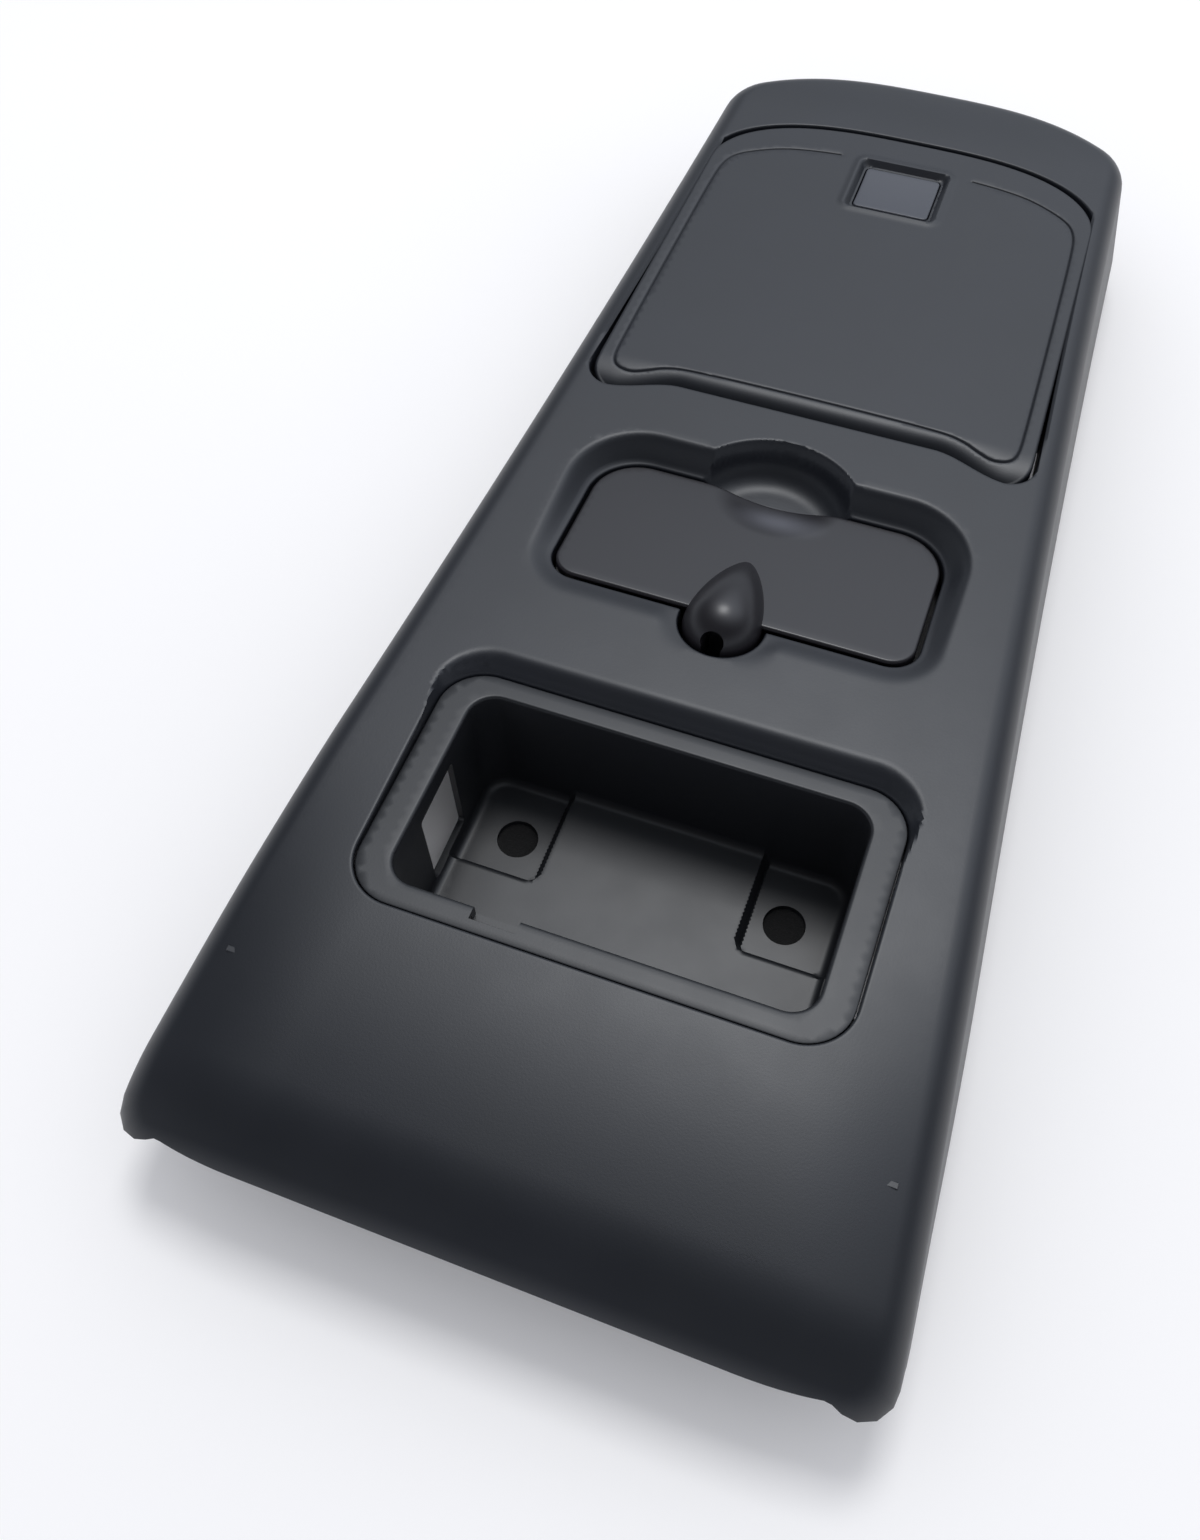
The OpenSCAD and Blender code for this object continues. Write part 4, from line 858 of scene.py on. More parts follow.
def carve(piece, solids, turn=None, sharp=32, crossing=False):
    """Cuts closed solids, given in millimetres, out of a piece and shades it again."""
    for bm in solids:
        mesh = bpy.data.meshes.new("cutter")
        bmesh.ops.scale(bm, vec=(MM, MM, MM), verts=bm.verts)
        if turn is not None:
            bmesh.ops.transform(bm, matrix=turn, verts=bm.verts)
        bm.to_mesh(mesh)
        bm.free()
        cutter = bpy.data.objects.new("cutter", mesh)
        bpy.context.scene.collection.objects.link(cutter)
        cut = piece.modifiers.new("cut", "BOOLEAN")
        cut.object, cut.operation, cut.solver = cutter, "DIFFERENCE", "EXACT"
        cut.use_self = crossing
        bpy.context.view_layer.update()
        done = bpy.data.meshes.new_from_object(piece.evaluated_get(bpy.context.evaluated_depsgraph_get()))
        piece.modifiers.clear()
        piece.data = done
        bpy.data.objects.remove(cutter)
    bm = bmesh.new()
    bm.from_mesh(piece.data)
    bmesh.ops.remove_doubles(bm, verts=bm.verts, dist=2e-6)
    finish_mesh(bm, piece.data, sharp)


# The lamp pocket

def pocket_floor(p):
    """The pocket's raised floor with a sunken square, soft at its corners, in each far corner."""
    ax, y = np.abs(p[:, 0]), p[:, 1]
    edge = np.column_stack([WELL_X + 5 - ax, WELL_Y + 5 - y])
    deep = 5 - np.hypot(*np.maximum(edge, 0).T) - np.minimum(edge.max(1), 0)
    return POCKET_LOW + POCKET_RISE * (1 - smooth(deep / 2.6))


def pocket_under(p):
    """The underside: flat feet under the wells and walls, hollow below the raised floor."""
    ax, y = np.abs(p[:, 0]), p[:, 1]
    middle = np.minimum(WELL_X - 2 - ax, POCKET_L / 2 - 1 - np.abs(y - POCKET_Y))
    near = np.minimum(POCKET_W / 2 - 1 - ax, np.minimum(WELL_Y - 2 - y, y - POCKET_Y + POCKET_L / 2 - 1))
    return POCKET_RISE * smooth(np.maximum(middle, near) / 0.8)


def make_pocket(material):
    """The lamp pocket: tilted ledge, walls with windows, raised floor, wells, fixing holes and ears."""
    ledge = rounded_rectangle(LEDGE_W - 0.8, LEDGE_L - 0.8, LEDGE_R - 0.4, LEDGE_Y, 2.0)
    mouth = rounded_rectangle(POCKET_W, POCKET_L, 9, POCKET_Y, 1.4)
    lip = moved_out(mouth, 1.3)
    points = grid((-80, 80), (-182, -90), 2.8)
    points = points[(distance(ledge, points) < -1.4) & (distance(lip, points) > 1.0)]
    plate, faces, ids = sheet(moved_out(ledge, -0.5), [lip], points)
    m = Mesh()
    t = m.ring(plate, ledge_height(plate[:, 1]))
    m.spread(t, faces)
    b = m.ring(plate, ledge_height(plate[:, 1]) - LEDGE_T)
    m.spread(b, faces, flip=True)
    rings = [t[ids[0]]]
    for out, drop in ((-0.15, 0.15), (0.0, 0.5), (0.0, LEDGE_T - 0.2), (-0.2, LEDGE_T)):
        rings.append(m.ring(moved_out(ledge, out), ledge_height(ledge[:, 1]) - drop))
    m.chain(rings + [b[ids[0]]])

    foot = moved_out(mouth, -3.0)
    holes = [np.array([(s * FIXING_X + FIXING_R * math.cos(a), FIXING_Y + FIXING_R * math.sin(a))
                       for a in np.linspace(0, 2 * math.pi, 48, endpoint=False)]) for s in (1, -1)]
    base = grid((-66, 66), (-172, -98), 2.4)
    fine = grid((28, 66), (-142, -98), 0.9)
    fine = np.vstack([fine, fine * [-1, 1]])
    base = base[~((np.abs(base[:, 0]) > 28) & (base[:, 1] > -142))]
    inner = np.vstack([base, fine])
    inner = inner[distance(foot, inner) < -0.7]
    for hole in holes:
        inner = inner[distance(hole, inner) > 0.6]
    floor, floor_faces, floor_ids = sheet(foot, holes, inner)
    ft = m.ring(floor, pocket_floor(floor))
    fb = m.ring(floor, pocket_under(floor))
    m.spread(ft, floor_faces)
    m.spread(fb, floor_faces, flip=True)
    for hole in floor_ids[1:]:
        m.bridge(ft[hole], fb[hole])
    rings = [t[ids[1]]]
    top = ledge_height(mouth[:, 1])
    for a in np.linspace(0, math.pi / 2, 6)[1:]:
        rings.append(m.ring(moved_out(mouth, 1.3 * (1 - math.sin(a))), top - 1.3 * (1 - math.cos(a))))
    low = pocket_floor(foot)
    for s in (0.25, 0.5, 0.75, 1.0):
        rings.append(m.ring(mouth, blend(top - 1.3, low + 3.0, s)))
    for a in np.linspace(0, math.pi / 2, 6)[1:-1]:
        rings.append(m.ring(moved_out(mouth, -3.0 * (1 - math.cos(a))), low + 3.0 * (1 - math.sin(a))))
    m.chain(rings + [ft[floor_ids[0]]])
    outside = moved_out(mouth, POCKET_SKIN)
    rings = [fb[floor_ids[0]], m.ring(moved_out(mouth, -1.0), 0.0), m.ring(moved_out(mouth, 1.9), 0.0),
             m.ring(outside, 0.3), m.ring(outside, ledge_height(outside[:, 1]) - LEDGE_T), b[ids[1]]]
    m.chain(rings)
    for px, py in POCKET_EARS:
        for s in (-1, 1):
            m.tube(s * px, py, 6, 1.9, EAR_TOP - EAR_T, EAR_TOP, EAR_TOP - EAR_T - 2)
            x0, x1 = sided(s, POCKET_W / 2 + 1.5, px - 4)
            m.block((x0, py - 6, EAR_TOP - EAR_T), (x1, py + 6, EAR_TOP))
    piece = m.piece("pocket_moulding", material, "housing", "pocket", ["lamp_pocket"])
    window = [(y, z) for y, z in rounded_rectangle(*WINDOW, 0, 1.0) + [WINDOW_Y, WINDOW_Z]]
    near = POCKET_Y - POCKET_L / 2
    clip_notch = box_outline(near - 4.5, near + 2, FACE - 7, FACE + 4)
    carve(piece, [prism(window, s * 64.5, s * 71) for s in (-1, 1)] + [prism(clip_notch, -37, -22)],
          crossing=True)


# The door and its button

def scribed_line():
    """The line scribed round the door, inside its edge and its lobes."""
    right = [(28, 200.6), (40, 199.4), (52, 197), (63, 191.8), (70, 187), (73.2, 181), (74.5, 172), (76, 120),
             (77.2, 66), (77, 57), (75, 53.2), (69, 52), (63, 54.4), (57, 57.4), (48, 59.2), (0, 59.8)]
    return rounded_path(right + [(-x, y) for x, y in reversed(right[:-1])], 1.1)


def door_points(outer, hole, line):
    """Points to mesh the door's face through, closest at its hinge, its button and its scribed line."""
    t = np.gradient(line, axis=0)
    t /= np.hypot(*t.T)[:, None]
    side = np.column_stack([t[:, 1], -t[:, 0]])
    beside = np.vstack([line + side * k for k in (-0.75, -0.4, -0.2, 0, 0.2, 0.4, 0.75)])
    base = grid((-84, 84), (62, 220), 2.8)
    rolled = grid((-84, 84), (43, 62), 1.1)
    recess = grid((-24, 24), (BUTTON_Y - 21, BUTTON_Y + 21), 0.9)
    near_recess = (np.abs(base[:, 0]) < 24) & (np.abs(base[:, 1] - BUTTON_Y) < 21)
    inner = np.vstack([base[~near_recess], rolled, recess])
    inner = inner[(distance(outer, inner) < -0.8) & (distance(hole, inner) > 0.5)]
    inner = inner[path_distance(line, inner) > 1.0]
    beside = beside[distance(outer, beside) < -0.5]
    rings = [moved_out(hole, r) for r in (0.12, 0.3, 0.9)] + [moved_out(outer, -0.4)]
    return np.vstack([inner, beside] + rings)


def door_cuts():
    """What is cut out of the door: room for the hinge ears, and the slot that the bolt slides in."""
    ear = box_outline(DOOR_EDGE_Y - 12, HINGE_Y - 4.2, 46, HINGE_Z + 1.5)
    over_ear = [(DOOR_EDGE_Y - 1.2, HINGE_Z + 1), (HINGE_Y - 3.6, HINGE_Z + 1),
                (HINGE_Y - 3.6, HINGE_Z + 4.6), (DOOR_EDGE_Y - 1.2, HINGE_Z + 3.4)]
    slot = box_outline(BUTTON_Y, 226, RECESS_BOTTOM + 0.3, FACE - 7.1)
    return ([prism(ear, s * 61.2, s * 57.0) for s in (-1, 1)]
            + [prism(over_ear, s * 61.4, s * 56.9) for s in (-1, 1)] + [prism(slot, -8.3, 8.3)])


def make_door(material):
    """The door's outer moulding: rolled edges, scribed line, button recess, skirt, tube and posts."""
    outer = loop(lambda u, v: door_place(u, v, DOOR_ROLL), 1.5)
    hole = rounded_rectangle(BUTTON_W + 0.8, BUTTON_L + 0.8, 2.2, BUTTON_Y, 0.9)
    line = scribed_line()
    xy, faces, ids = sheet(outer, [hole], door_points(outer, hole, line))
    bare = door_height(*xy.T)
    recess_foot = (BUTTON_W + 2.6, BUTTON_L + 2.6, 2.0)
    recess_brim = (BUTTON_W + 6, BUTTON_L + 6, 2.6)
    slope = ring_height(xy, recess_foot, recess_brim, BUTTON_Y, FACE - 1.8, FACE + 0.1)
    swell = np.clip(1 - (ring_distance(xy, *recess_brim, BUTTON_Y) - 0.2) / 3.6, 0, 1)
    z = soft_min(bare + 0.55 * smooth(swell), slope, 0.45)
    near_hole = np.maximum(distance(hole, xy), 0)
    z -= 0.3 - np.sqrt(np.maximum(0, 0.09 - np.maximum(0, 0.3 - near_hole) ** 2))
    z -= 0.55 * np.exp(-(path_distance(line, xy) / 0.36) ** 2)
    # The inside face is drawn in towards the door's middle near the edge, so that it clears the skirt
    shift = np.clip(1 + distance(outer, xy) / 7, 0, 1)[:, None] * 1.8
    toward = np.array([0, 125.0]) - xy
    toward /= np.maximum(np.hypot(*toward.T)[:, None], 1e-6)
    under_xy = xy + toward * shift * 1.25
    under = np.minimum(door_height(*under_xy.T) - DOOR_SKIN, bare - DOOR_SKIN + 0.2)
    m = Mesh()
    t, b = m.ring(xy, z), m.ring(under_xy, under)
    m.spread(t, faces)
    m.spread(b, faces, flip=True)
    tube = [m.ring(moved_out(hole, out), height) for out, height in (
        (0, RECESS_BOTTOM + 0.3), (0.3, RECESS_BOTTOM), (3.1, RECESS_BOTTOM),
        (3.4, RECESS_BOTTOM + 0.3), (3.4, FACE - DOOR_SKIN - 0.2))]
    m.chain([t[ids[1]]] + tube + [b[ids[1]]])
    edge = door_height(*outer.T)
    rings = [t[ids[0]]] + m.rolled_edge(outer, edge, DOOR_ROLL, 6)
    # The skirt is shorter between the hinge ears, where it swings over the bin's screw flange
    low = FACE - DOOR_SKIRT + 1.6 * ((np.abs(outer[:, 0]) < SKIRT_NOTCH_X) & (outer[:, 1] < 57))
    for out, height in ((1.2, low + 0.4), (0.8, low), (-0.8, low), (-1.2, low + 0.4)):
        rings.append(m.ring(moved_out(outer, out), height))
    rings.append(m.ring(moved_out(outer, -1.4), np.maximum(edge - 5.0, low + 1)))
    m.chain(rings + [b[ids[0]]])
    for px, py in LINER_POSTS:
        for s in (-1, 1):
            m.tube(s * px, py, 3.2, 1.2, FACE - 9.9, FACE - 1.4, FACE - 3.0)
    piece = m.piece("door_moulding", material, "bin_door", "housing", ["door_panel"])
    carve(piece, door_cuts())


def make_door_arms(material):
    """The two arms that reach from the door round its hinge pins."""
    for k, s in enumerate((-1, 1)):
        outline = arc_points(HINGE_Y, HINGE_Z, 4, -180, 0, 14)
        outline += [(HINGE_Y + 4, FACE - 6), (HINGE_Y + 22, FACE - 6), (HINGE_Y + 22, FACE - 1.8),
                    (HINGE_Y - 4, FACE - 1.8)]
        bm = prism(outline, s * ARM_X[0], s * ARM_X[1])
        bmesh.ops.scale(bm, vec=(MM, MM, MM), verts=bm.verts)
        mesh = bpy.data.meshes.new("door_arm")
        finish_mesh(bm, mesh, 32)
        arm = bpy.data.objects.new(f"door_arm_{k}", mesh)
        bpy.context.scene.collection.objects.link(arm)
        mesh.materials.append(material)
        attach(arm, "bin_door")


def make_button(material):
    """The release button: dished for a fingertip, with eased edges and its ramped leg."""
    top = FACE - 1.4
    low = FACE - 4.4
    outer = moved_out(rounded_rectangle(BUTTON_W, BUTTON_L, 1.8, BUTTON_Y, 0.7), -0.5)
    inner = grid((-16, 16), (BUTTON_Y - 13, BUTTON_Y + 13), 1.3)
    inner = inner[distance(outer, inner) < -0.7]
    xy, faces, ids = sheet(outer, [], inner)

    def dish(p):
        """The dished top, part of a wide drum."""
        return np.minimum(top + 149.5 - np.sqrt(150 ** 2 - (p[:, 1] - BUTTON_Y) ** 2), top)

    m = Mesh()
    t = m.ring(xy, dish(xy))
    m.spread(t, faces)
    rings = [t[ids[0]]] + m.rolled_edge(outer, dish(outer), 0.5, 5)
    rings += [m.ring(moved_out(outer, 0.5), low), m.ring(moved_out(outer, -1.5), low),
              m.ring(moved_out(outer, -1.5), top - 1.6)]
    m.chain(rings)
    m.cap(rings[-1])
    leg = [(189.06, FACE - 11.4), (191.3, FACE - 11.4), (191.3, top - 1.4), (173.54, top - 1.4)]
    start = len(m.points)
    for x in (-4, 4):
        m.points += [(x, y, z) for y, z in leg]
    m.faces += [tuple(range(start, start + 4)), tuple(range(start + 4, start + 8))]
    m.faces += [(start + i, start + (i + 1) % 4, start + 4 + (i + 1) % 4, start + 4 + i) for i in range(4)]
    m.piece("button_cap", material, "button", "button", ["release_button"])


# The folding mirror

def on_axis():
    """Turns a piece drawn level about the mirror's hinge into its closed place, in metres."""
    return Matrix.Translation((0, AXIS_Y / 1000, AXIS_Z / 1000)) @ Matrix.Rotation(-TILT, 4, "X")


def make_mirror_cover(material):
    """The mirror's back: a flat plate with a dished finger recess, and the seat of its glass."""
    line = loop(mirror_place, 1.1)
    outer = moved_out(line, -COVER_ROLL)
    lens_y = MIRROR_REACH + LENS_BEYOND
    lens_z = COVER_RISE + LENS_R - LENS_DEPTH
    inner = grid((-64, 64), (2, 64), 2.6)
    far = np.hypot(inner[:, 0], inner[:, 1] - lens_y) < 27
    inner = np.vstack([inner[~far], grid((-28, 28), (42, 64), 0.9)])
    inner = inner[distance(outer, inner) < -0.8]
    rim = np.array([(LENS_RIM * math.cos(a), lens_y + LENS_RIM * math.sin(a))
                    for a in np.linspace(math.pi, 2 * math.pi, 90)])
    rim = np.vstack([rim + k * (rim - [0, lens_y]) / LENS_RIM for k in (-0.5, 0, 0.5)])
    rim = rim[distance(outer, rim) < -0.3]
    xy, faces, ids = sheet(outer, [], np.vstack([inner, rim]))

    def cover_top(p):
        """The flat back, with the finger recess as part of a ball."""
        r2 = p[:, 0] ** 2 + (p[:, 1] - lens_y) ** 2
        return soft_min(np.full(len(p), COVER_RISE), lens_z - np.sqrt(np.maximum(LENS_R ** 2 - r2, 0)), 1.6)

    m = Mesh()
    t = m.ring(xy, cover_top(xy))
    m.spread(t, faces)
    low = COVER_RISE - COVER_T
    rings = [t[ids[0]]] + m.rolled_edge(outer, cover_top(outer), COVER_ROLL, 6, low + 0.5)
    back = line.copy()
    back[:, 1] = np.maximum(back[:, 1], MIRROR_NEAR + 2.6)
    base = moved_out(back, -0.4)
    rings += [m.ring(blend(line, back, 0.9), low + 0.4), m.ring(base, low)]
    m.chain(rings)
    seat = rounded_rectangle(111, 39, 8, 28, 1.5)
    flat, flat_faces, flat_ids = sheet(base, [seat], np.empty((0, 2)))
    b = m.ring(flat, low)
    m.spread(b, flat_faces, flip=True)
    m.bridge(rings[-1], b[flat_ids[0]])
    seat_top = m.ring(seat, low + 2.8)
    m.bridge(b[flat_ids[1]], seat_top)
    m.cap(seat_top)
    m.piece("mirror_back", material, "mirror", "mirror_back", ["mirror_cover"], on_axis())


def make_mirror_pod(material):
    """The drop-shaped pod over the mirror's hinge, hollow and slotted around the bracket."""
    m = Mesh()
    steps = [(-POD_R * math.cos(a), POD_R * math.sin(a)) for a in np.linspace(0.02, math.pi / 2, 22)]
    steps += [(POD_REACH * t, POD_R * (1 - t ** 1.7) ** 0.8)
              for t in [*np.linspace(0.03, 0.97, 30), 0.992]]
    a = np.linspace(0, 2 * math.pi, 72, endpoint=False)
    rings = []
    for y, r in steps:
        start = len(m.points)
        m.points += [(float(r * math.sin(k)), float(y), float(r * math.cos(k))) for k in a]
        rings.append(np.arange(start, start + len(a)))
    m.chain(rings)
    m.cap(rings[0], rings[-1])
    pod = m.piece("mirror_pod", material, "mirror", "mirror_back", ["mirror_cover"], on_axis())

    slot = prism([(5.9, 0), (0, 4.7), (-20, 7.4), (-20, -20), (5.9, -20)], -3.4, 3.4)
    cavity = prism(arc_points(0, 0, 6.2, 0, 352.5, 48), -3.4, 3.4)
    below = prism(box_outline(-30, 50, -8, -30), -30, 30)
    hole_way = 157
    across = np.array([math.cos(math.radians(hole_way)), math.sin(math.radians(hole_way))]) * 12
    hole = bmesh.new()
    bmesh.ops.create_cone(hole, cap_ends=True, segments=48, radius1=4, radius2=4, depth=20,
                          matrix=Matrix.Translation((0, *across))
                          @ Matrix.Rotation(math.radians(hole_way - 90), 4, "X"))
    carve(pod, [slot, hole, cavity, below], on_axis())


# Settings and steps

def hex_property(name, code, description):
    """A colour that a user would change, kept as its sRGB hex value."""
    return bpy.props.StringProperty(name=name, description=description, default=code, maxlen=7)


class ConsoleFinishes(bpy.types.PropertyGroup):
    """Colours of the console's finishes."""
    housing: hex_property("Housing", "#16191F", "Satin charcoal of the housing and the door")
    housing_pale: hex_property("Housing, paler", "#181B22", "Where the moulding flowed out paler")
    pocket: hex_property("Lamp pocket", "#1A1C20", "Satin charcoal of the lamp pocket")
    inner: hex_property("Inner mouldings", "#101012", "Plain black of the hidden mouldings")
    mirror_back: hex_property("Mirror cover", "#1C1B1F", "Smooth warm black of the mirror's back")
    # Painted highlight: the paler patch that stands in for a gleam of light in the mirror's finger recess
    recess_highlight: hex_property("Painted recess highlight", "#5E6067", "Painted highlight: a paler patch in the mirror's finger recess")
    button: hex_property("Release button", "#40434B", "Grey of the release button")
    steel: hex_property("Zinc plate", "#C6C8CB", "Zinc plate of screws, pins and striker")


class ConsoleSizes(bpy.types.PropertyGroup):
    """Sizes that the finishes are drawn to."""
    # The real grain is finer; it is drawn this coarse so that it shows from the camera
    grain: bpy.props.FloatProperty(
        name="Grain", description="Width of one cell of the moulded grain", default=0.0007,
        min=0.0003, max=0.003, subtype="DISTANCE", unit="LENGTH")
    floor: bpy.props.FloatProperty(
        name="Floor", description="Width of the floor", default=12.0, min=3.0, max=40.0,
        subtype="DISTANCE", unit="LENGTH")


class CONSOLE_OT_mouldings(bpy.types.Operator):
    """Finishes the housing, the door and the lamp pocket"""
    bl_idname = "console.mouldings"
    bl_label = "Mouldings"

    def execute(self, context):
        look = context.scene.console_finishes
        grain = context.scene.console_sizes.grain * 1000
        charcoal = moulded_plastic("ABS, moulded with a fine spark grain, charcoal", look.housing,
                                   look.housing_pale, grain, 0.02, 0.42, dust=0.5)
        make_housing(charcoal)
        make_door(charcoal)
        make_door_arms(charcoal)
        make_pocket(moulded_plastic("ABS, moulded with a fine spark grain, dark pocket", look.pocket,
                                    look.pocket, grain, 0.016, 0.42))
        dress(moulded_plastic("Polypropylene, moulded plain, black", look.inner, look.inner, 1.1, 0.01, 0.5),
              ["bin_housing", "mirror_case", "mirror_bracket", "door_liner", "spring_seat", "latch_bolt",
               "mirror_frame"])
        return {"FINISHED"}


class CONSOLE_OT_button(bpy.types.Operator):
    """Finishes the release button"""
    bl_idname = "console.button"
    bl_label = "Release button"

    def execute(self, context):
        look = context.scene.console_finishes
        make_button(moulded_plastic("ABS, moulded satin, grey", look.button, look.button, 0.6, 0.012, 0.4))
        return {"FINISHED"}


class CONSOLE_OT_mirror(bpy.types.Operator):
    """Finishes the folding mirror"""
    bl_idname = "console.mirror"
    bl_label = "Mirror"

    def execute(self, context):
        look = context.scene.console_finishes
        cover = moulded_plastic("ABS, moulded smooth satin, warm black", look.mirror_back, look.mirror_back,
                                0.5, 0.006, 0.34)
        # Paints a highlight into the mirror's finger recess as a paler patch of the cover's colour
        paint_recess_highlight(cover, (0.004, 0.006, 0.0525), look.recess_highlight)
        make_mirror_cover(cover)
        make_mirror_pod(cover)
        dress(silvered_glass("Glass, back-silvered"), ["mirror_glass"])
        return {"FINISHED"}


class CONSOLE_OT_metal(bpy.types.Operator):
    """Finishes the screws, pins, springs, clips, felt and stops"""
    bl_idname = "console.metal"
    bl_label = "Metal, felt and rubber"

    def execute(self, context):
        look = context.scene.console_finishes
        dress(plated_metal("Steel, zinc-plated", look.steel, "#B4B6BA", 0.32),
              ["latch_striker", "pocket_screws", "bin_screws", "case_screws", "striker_screws",
               "bracket_screws", "liner_screws", "door_hinge_pins", "mirror_pin"])
        dress(plated_metal("Spring steel, blued", "#6E7077", "#55585F", 0.35),
              ["retaining_clips", "friction_washers", "door_springs", "button_spring", "bolt_spring"])
        dress(needle_felt("Polyester felt, needle-punched, black", "#141416", "#2C2C30"), ["bin_mat"])
        dress(soft_rubber("Rubber, moulded, black", "#121213", "#1F1F21"), ["bump_stops"])
        return {"FINISHED"}


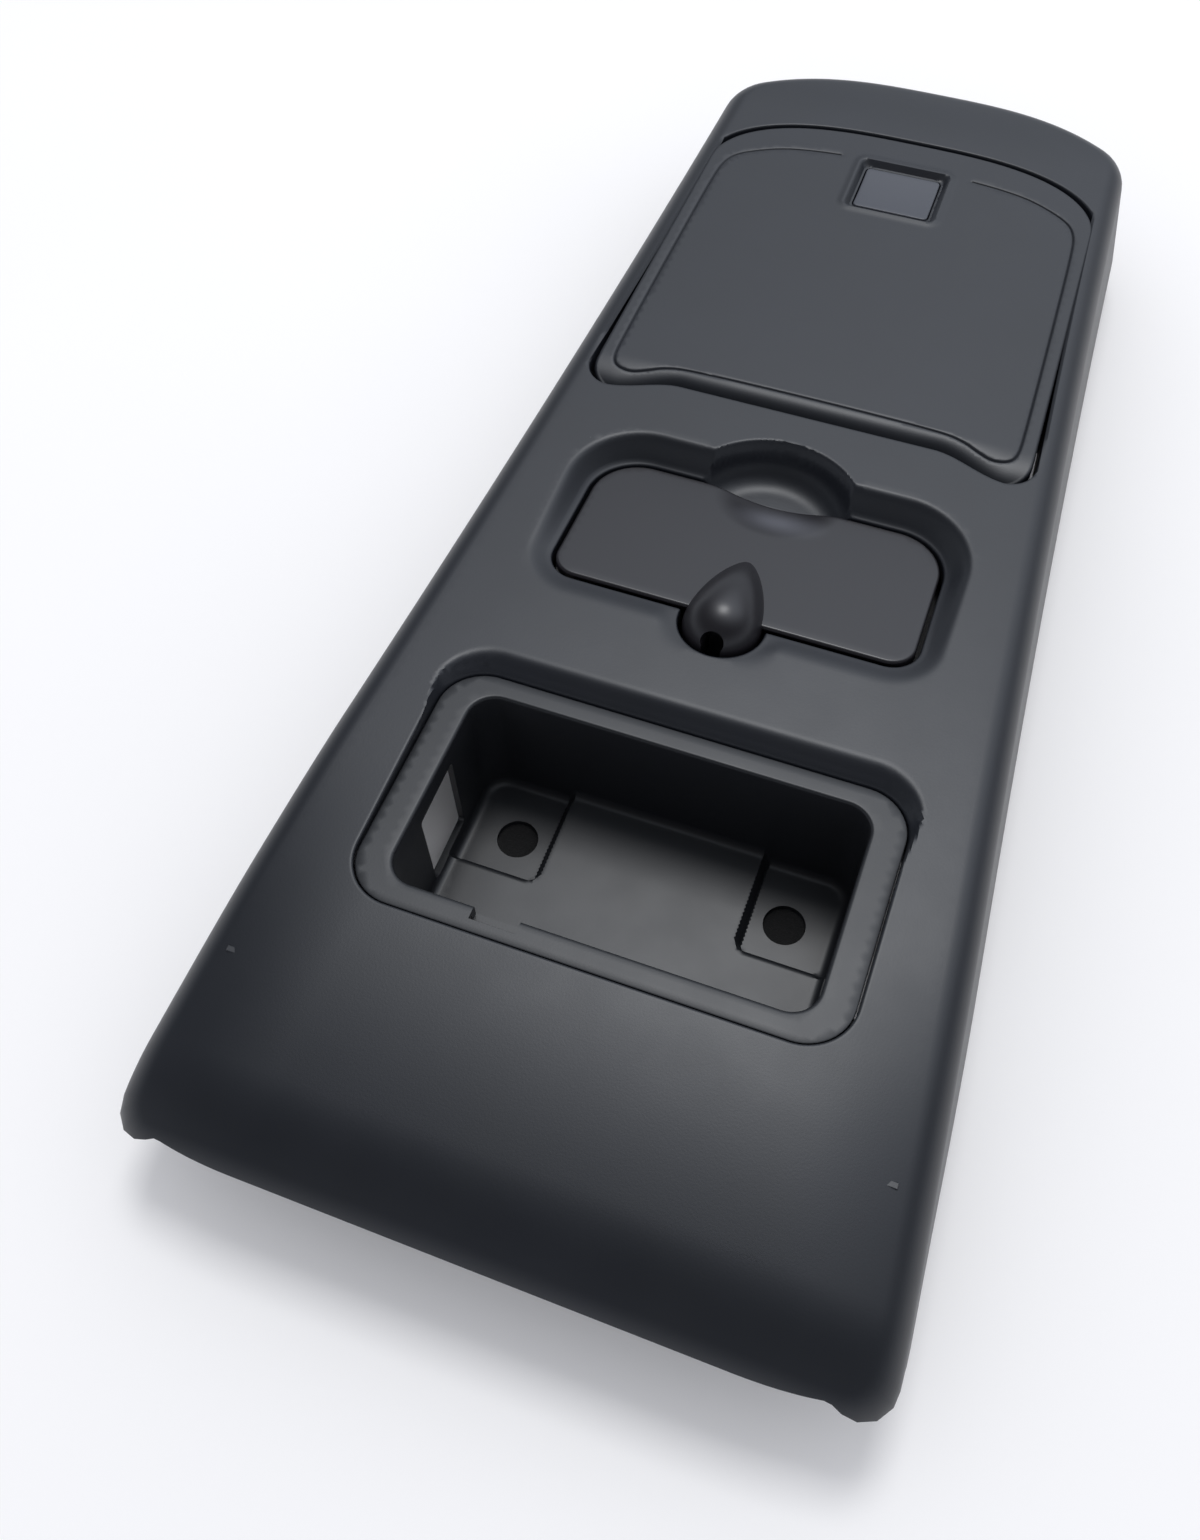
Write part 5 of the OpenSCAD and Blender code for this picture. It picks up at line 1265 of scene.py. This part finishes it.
class CONSOLE_OT_studio(bpy.types.Operator):
    """Builds the floor, the lamp, the world and the camera"""
    bl_idname = "console.studio"
    bl_label = "Studio"

    def execute(self, context):
        scene = context.scene
        half = scene.console_sizes.floor / 2
        floor = self.sheet(scene, "floor", (-half, -half), (half, half), -0.0004)
        floor.materials.append(self.floor_material())
        # Painted shade: a near-black felt sheet on the floor under the lamp pocket, seen only through its
        # fixing holes, darkens them as shade would
        shade_sheet = self.sheet(scene, "painted_shade_below_pocket", (-0.062, -0.166), (0.062, -0.104), -0.0001)
        shade_sheet.materials.append(needle_felt("Painted shade, near-black felt", "#070708", "#0C0C0D"))
        self.world(scene)
        self.area(scene, "key", KEY_AT, (0, 0, 0.03), KEY_SIZE, KEY_POWER)
        camera_data = bpy.data.cameras.new("camera")
        camera_data.sensor_width = 36
        camera_data.lens = CAMERA_LENS
        camera_data.clip_start = 0.01
        camera_data.clip_end = 100
        camera = bpy.data.objects.new("camera", camera_data)
        scene.collection.objects.link(camera)
        axes = Matrix([CAMERA_RIGHT, CAMERA_UP, CAMERA_BACK]).transposed()
        camera.matrix_world = Matrix.Translation(CAMERA_AT) @ axes.to_4x4()
        scene.camera = camera
        scene.view_settings.view_transform = "Standard"
        return {"FINISHED"}

    def sheet(self, scene, name, low, high, z):
        """A level sheet of the stage between two corners."""
        mesh = bpy.data.meshes.new(name)
        around = ((low[0], low[1]), (high[0], low[1]), (high[0], high[1]), (low[0], high[1]))
        mesh.from_pydata([(x, y, z) for x, y in around], [], [(0, 1, 2, 3)])
        piece = bpy.data.objects.new(name, mesh)
        scene.collection.objects.link(piece)
        return mesh

    def area(self, scene, name, at, to, size, power):
        """A square area lamp turned towards a point."""
        data = bpy.data.lights.new(name, "AREA")
        data.shape = "SQUARE"
        data.size = size
        data.energy = power
        lamp = bpy.data.objects.new(name, data)
        scene.collection.objects.link(lamp)
        lamp.location = at
        lamp.rotation_euler = (Vector(to) - Vector(at)).to_track_quat("-Z", "Y").to_euler()

    def floor_material(self):
        """White matt paper: it mirrors nothing and keeps the console's shadow."""
        material, tree, shader, place = new_material("Paper, matt, white")
        mottle = add_node(tree, "ShaderNodeTexNoise", None, {"Vector": place, "Scale": per_mm(300)})
        colour = add_node(tree, "ShaderNodeValToRGB", None, {"Fac": mottle.outputs["Fac"]}, [
            (0.3, linear("#FDFDFD")), (0.7, linear("#FFFFFF"))])
        tree.links.new(colour.outputs["Color"], shader.inputs["Base Color"])
        shader.inputs["Roughness"].default_value = 0.9
        return material

    def world(self, scene):
        """Even light all round; white where it is seen directly, graded like a softbox where reflected."""
        world = bpy.data.worlds.new("studio")
        scene.world = world
        world.use_nodes = True
        tree = world.node_tree
        tree.nodes.clear()
        path = add_node(tree, "ShaderNodeLightPath")
        seen = add_node(tree, "ShaderNodeMath", {"operation": "MAXIMUM"}, {
            0: path.outputs["Is Camera Ray"], 1: path.outputs["Is Transmission Ray"]})
        way = add_node(tree, "ShaderNodeTexCoord").outputs["Generated"]
        facing = add_node(tree, "ShaderNodeVectorMath", {"operation": "DOT_PRODUCT"}, {
            0: way, 1: SOFTBOX_WAY}).outputs["Value"]
        box = add_node(tree, "ShaderNodeValToRGB", None, {"Fac": facing}, [
            (0.5, grey(0.02)), (0.75, grey(0.26)), (0.86, grey(0.7)), (0.94, grey(1.0))]).outputs["Color"]
        height = add_node(tree, "ShaderNodeSeparateXYZ", None, {0: way}).outputs["Z"]
        rim = add_node(tree, "ShaderNodeValToRGB", None, {"Fac": height}, [
            (0.0, grey(0.5)), (0.15, grey(0.4)), (0.45, grey(0.03))]).outputs["Color"]
        sheen = add_node(tree, "ShaderNodeVectorMath", {"operation": "MAXIMUM"}, {0: box, 1: rim})
        plain = add_node(tree, "ShaderNodeBackground", None, {
            "Color": linear("#F8F9FF"), "Strength": EVEN_LIGHT})
        soft = add_node(tree, "ShaderNodeBackground", None, {
            "Color": sheen.outputs[0], "Strength": SOFTBOX_LIGHT})
        white = add_node(tree, "ShaderNodeBackground", None, {"Color": linear("#FFFFFF"), "Strength": 1.0})
        lit = add_node(tree, "ShaderNodeMixShader", None, {
            0: path.outputs["Is Glossy Ray"], 1: plain.outputs[0], 2: soft.outputs[0]})
        mix = add_node(tree, "ShaderNodeMixShader", None, {
            0: seen.outputs[0], 1: lit.outputs[0], 2: white.outputs[0]})
        output = add_node(tree, "ShaderNodeOutputWorld")
        tree.links.new(mix.outputs[0], output.inputs["Surface"])


class CONSOLE_PT_panel(bpy.types.Panel):
    """Lists the steps that dress the console"""
    bl_idname = "CONSOLE_PT_panel"
    bl_label = "Console"
    bl_space_type = "VIEW_3D"
    bl_region_type = "UI"
    bl_category = "Console"

    def draw(self, context):
        for group in (context.scene.console_finishes, context.scene.console_sizes):
            for name in group.__annotations__:
                self.layout.prop(group, name)
        for step in STEPS:
            self.layout.operator(step.bl_idname)


STEPS = [CONSOLE_OT_mouldings, CONSOLE_OT_button, CONSOLE_OT_mirror, CONSOLE_OT_metal, CONSOLE_OT_studio]
CLASSES = [ConsoleFinishes, ConsoleSizes] + STEPS + [CONSOLE_PT_panel]


def register():
    """Adds the settings, the steps and the panel."""
    for cls in CLASSES:
        bpy.utils.register_class(cls)
    bpy.types.Scene.console_finishes = bpy.props.PointerProperty(type=ConsoleFinishes)
    bpy.types.Scene.console_sizes = bpy.props.PointerProperty(type=ConsoleSizes)


def unregister():
    """Takes them away again."""
    del bpy.types.Scene.console_sizes
    del bpy.types.Scene.console_finishes
    for cls in reversed(CLASSES):
        bpy.utils.unregister_class(cls)


def main():
    """Registers the steps and runs each one to dress the console."""
    register()
    bpy.ops.console.mouldings()
    bpy.ops.console.button()
    bpy.ops.console.mirror()
    bpy.ops.console.metal()
    bpy.ops.console.studio()


if __name__ == "__main__":
    main()
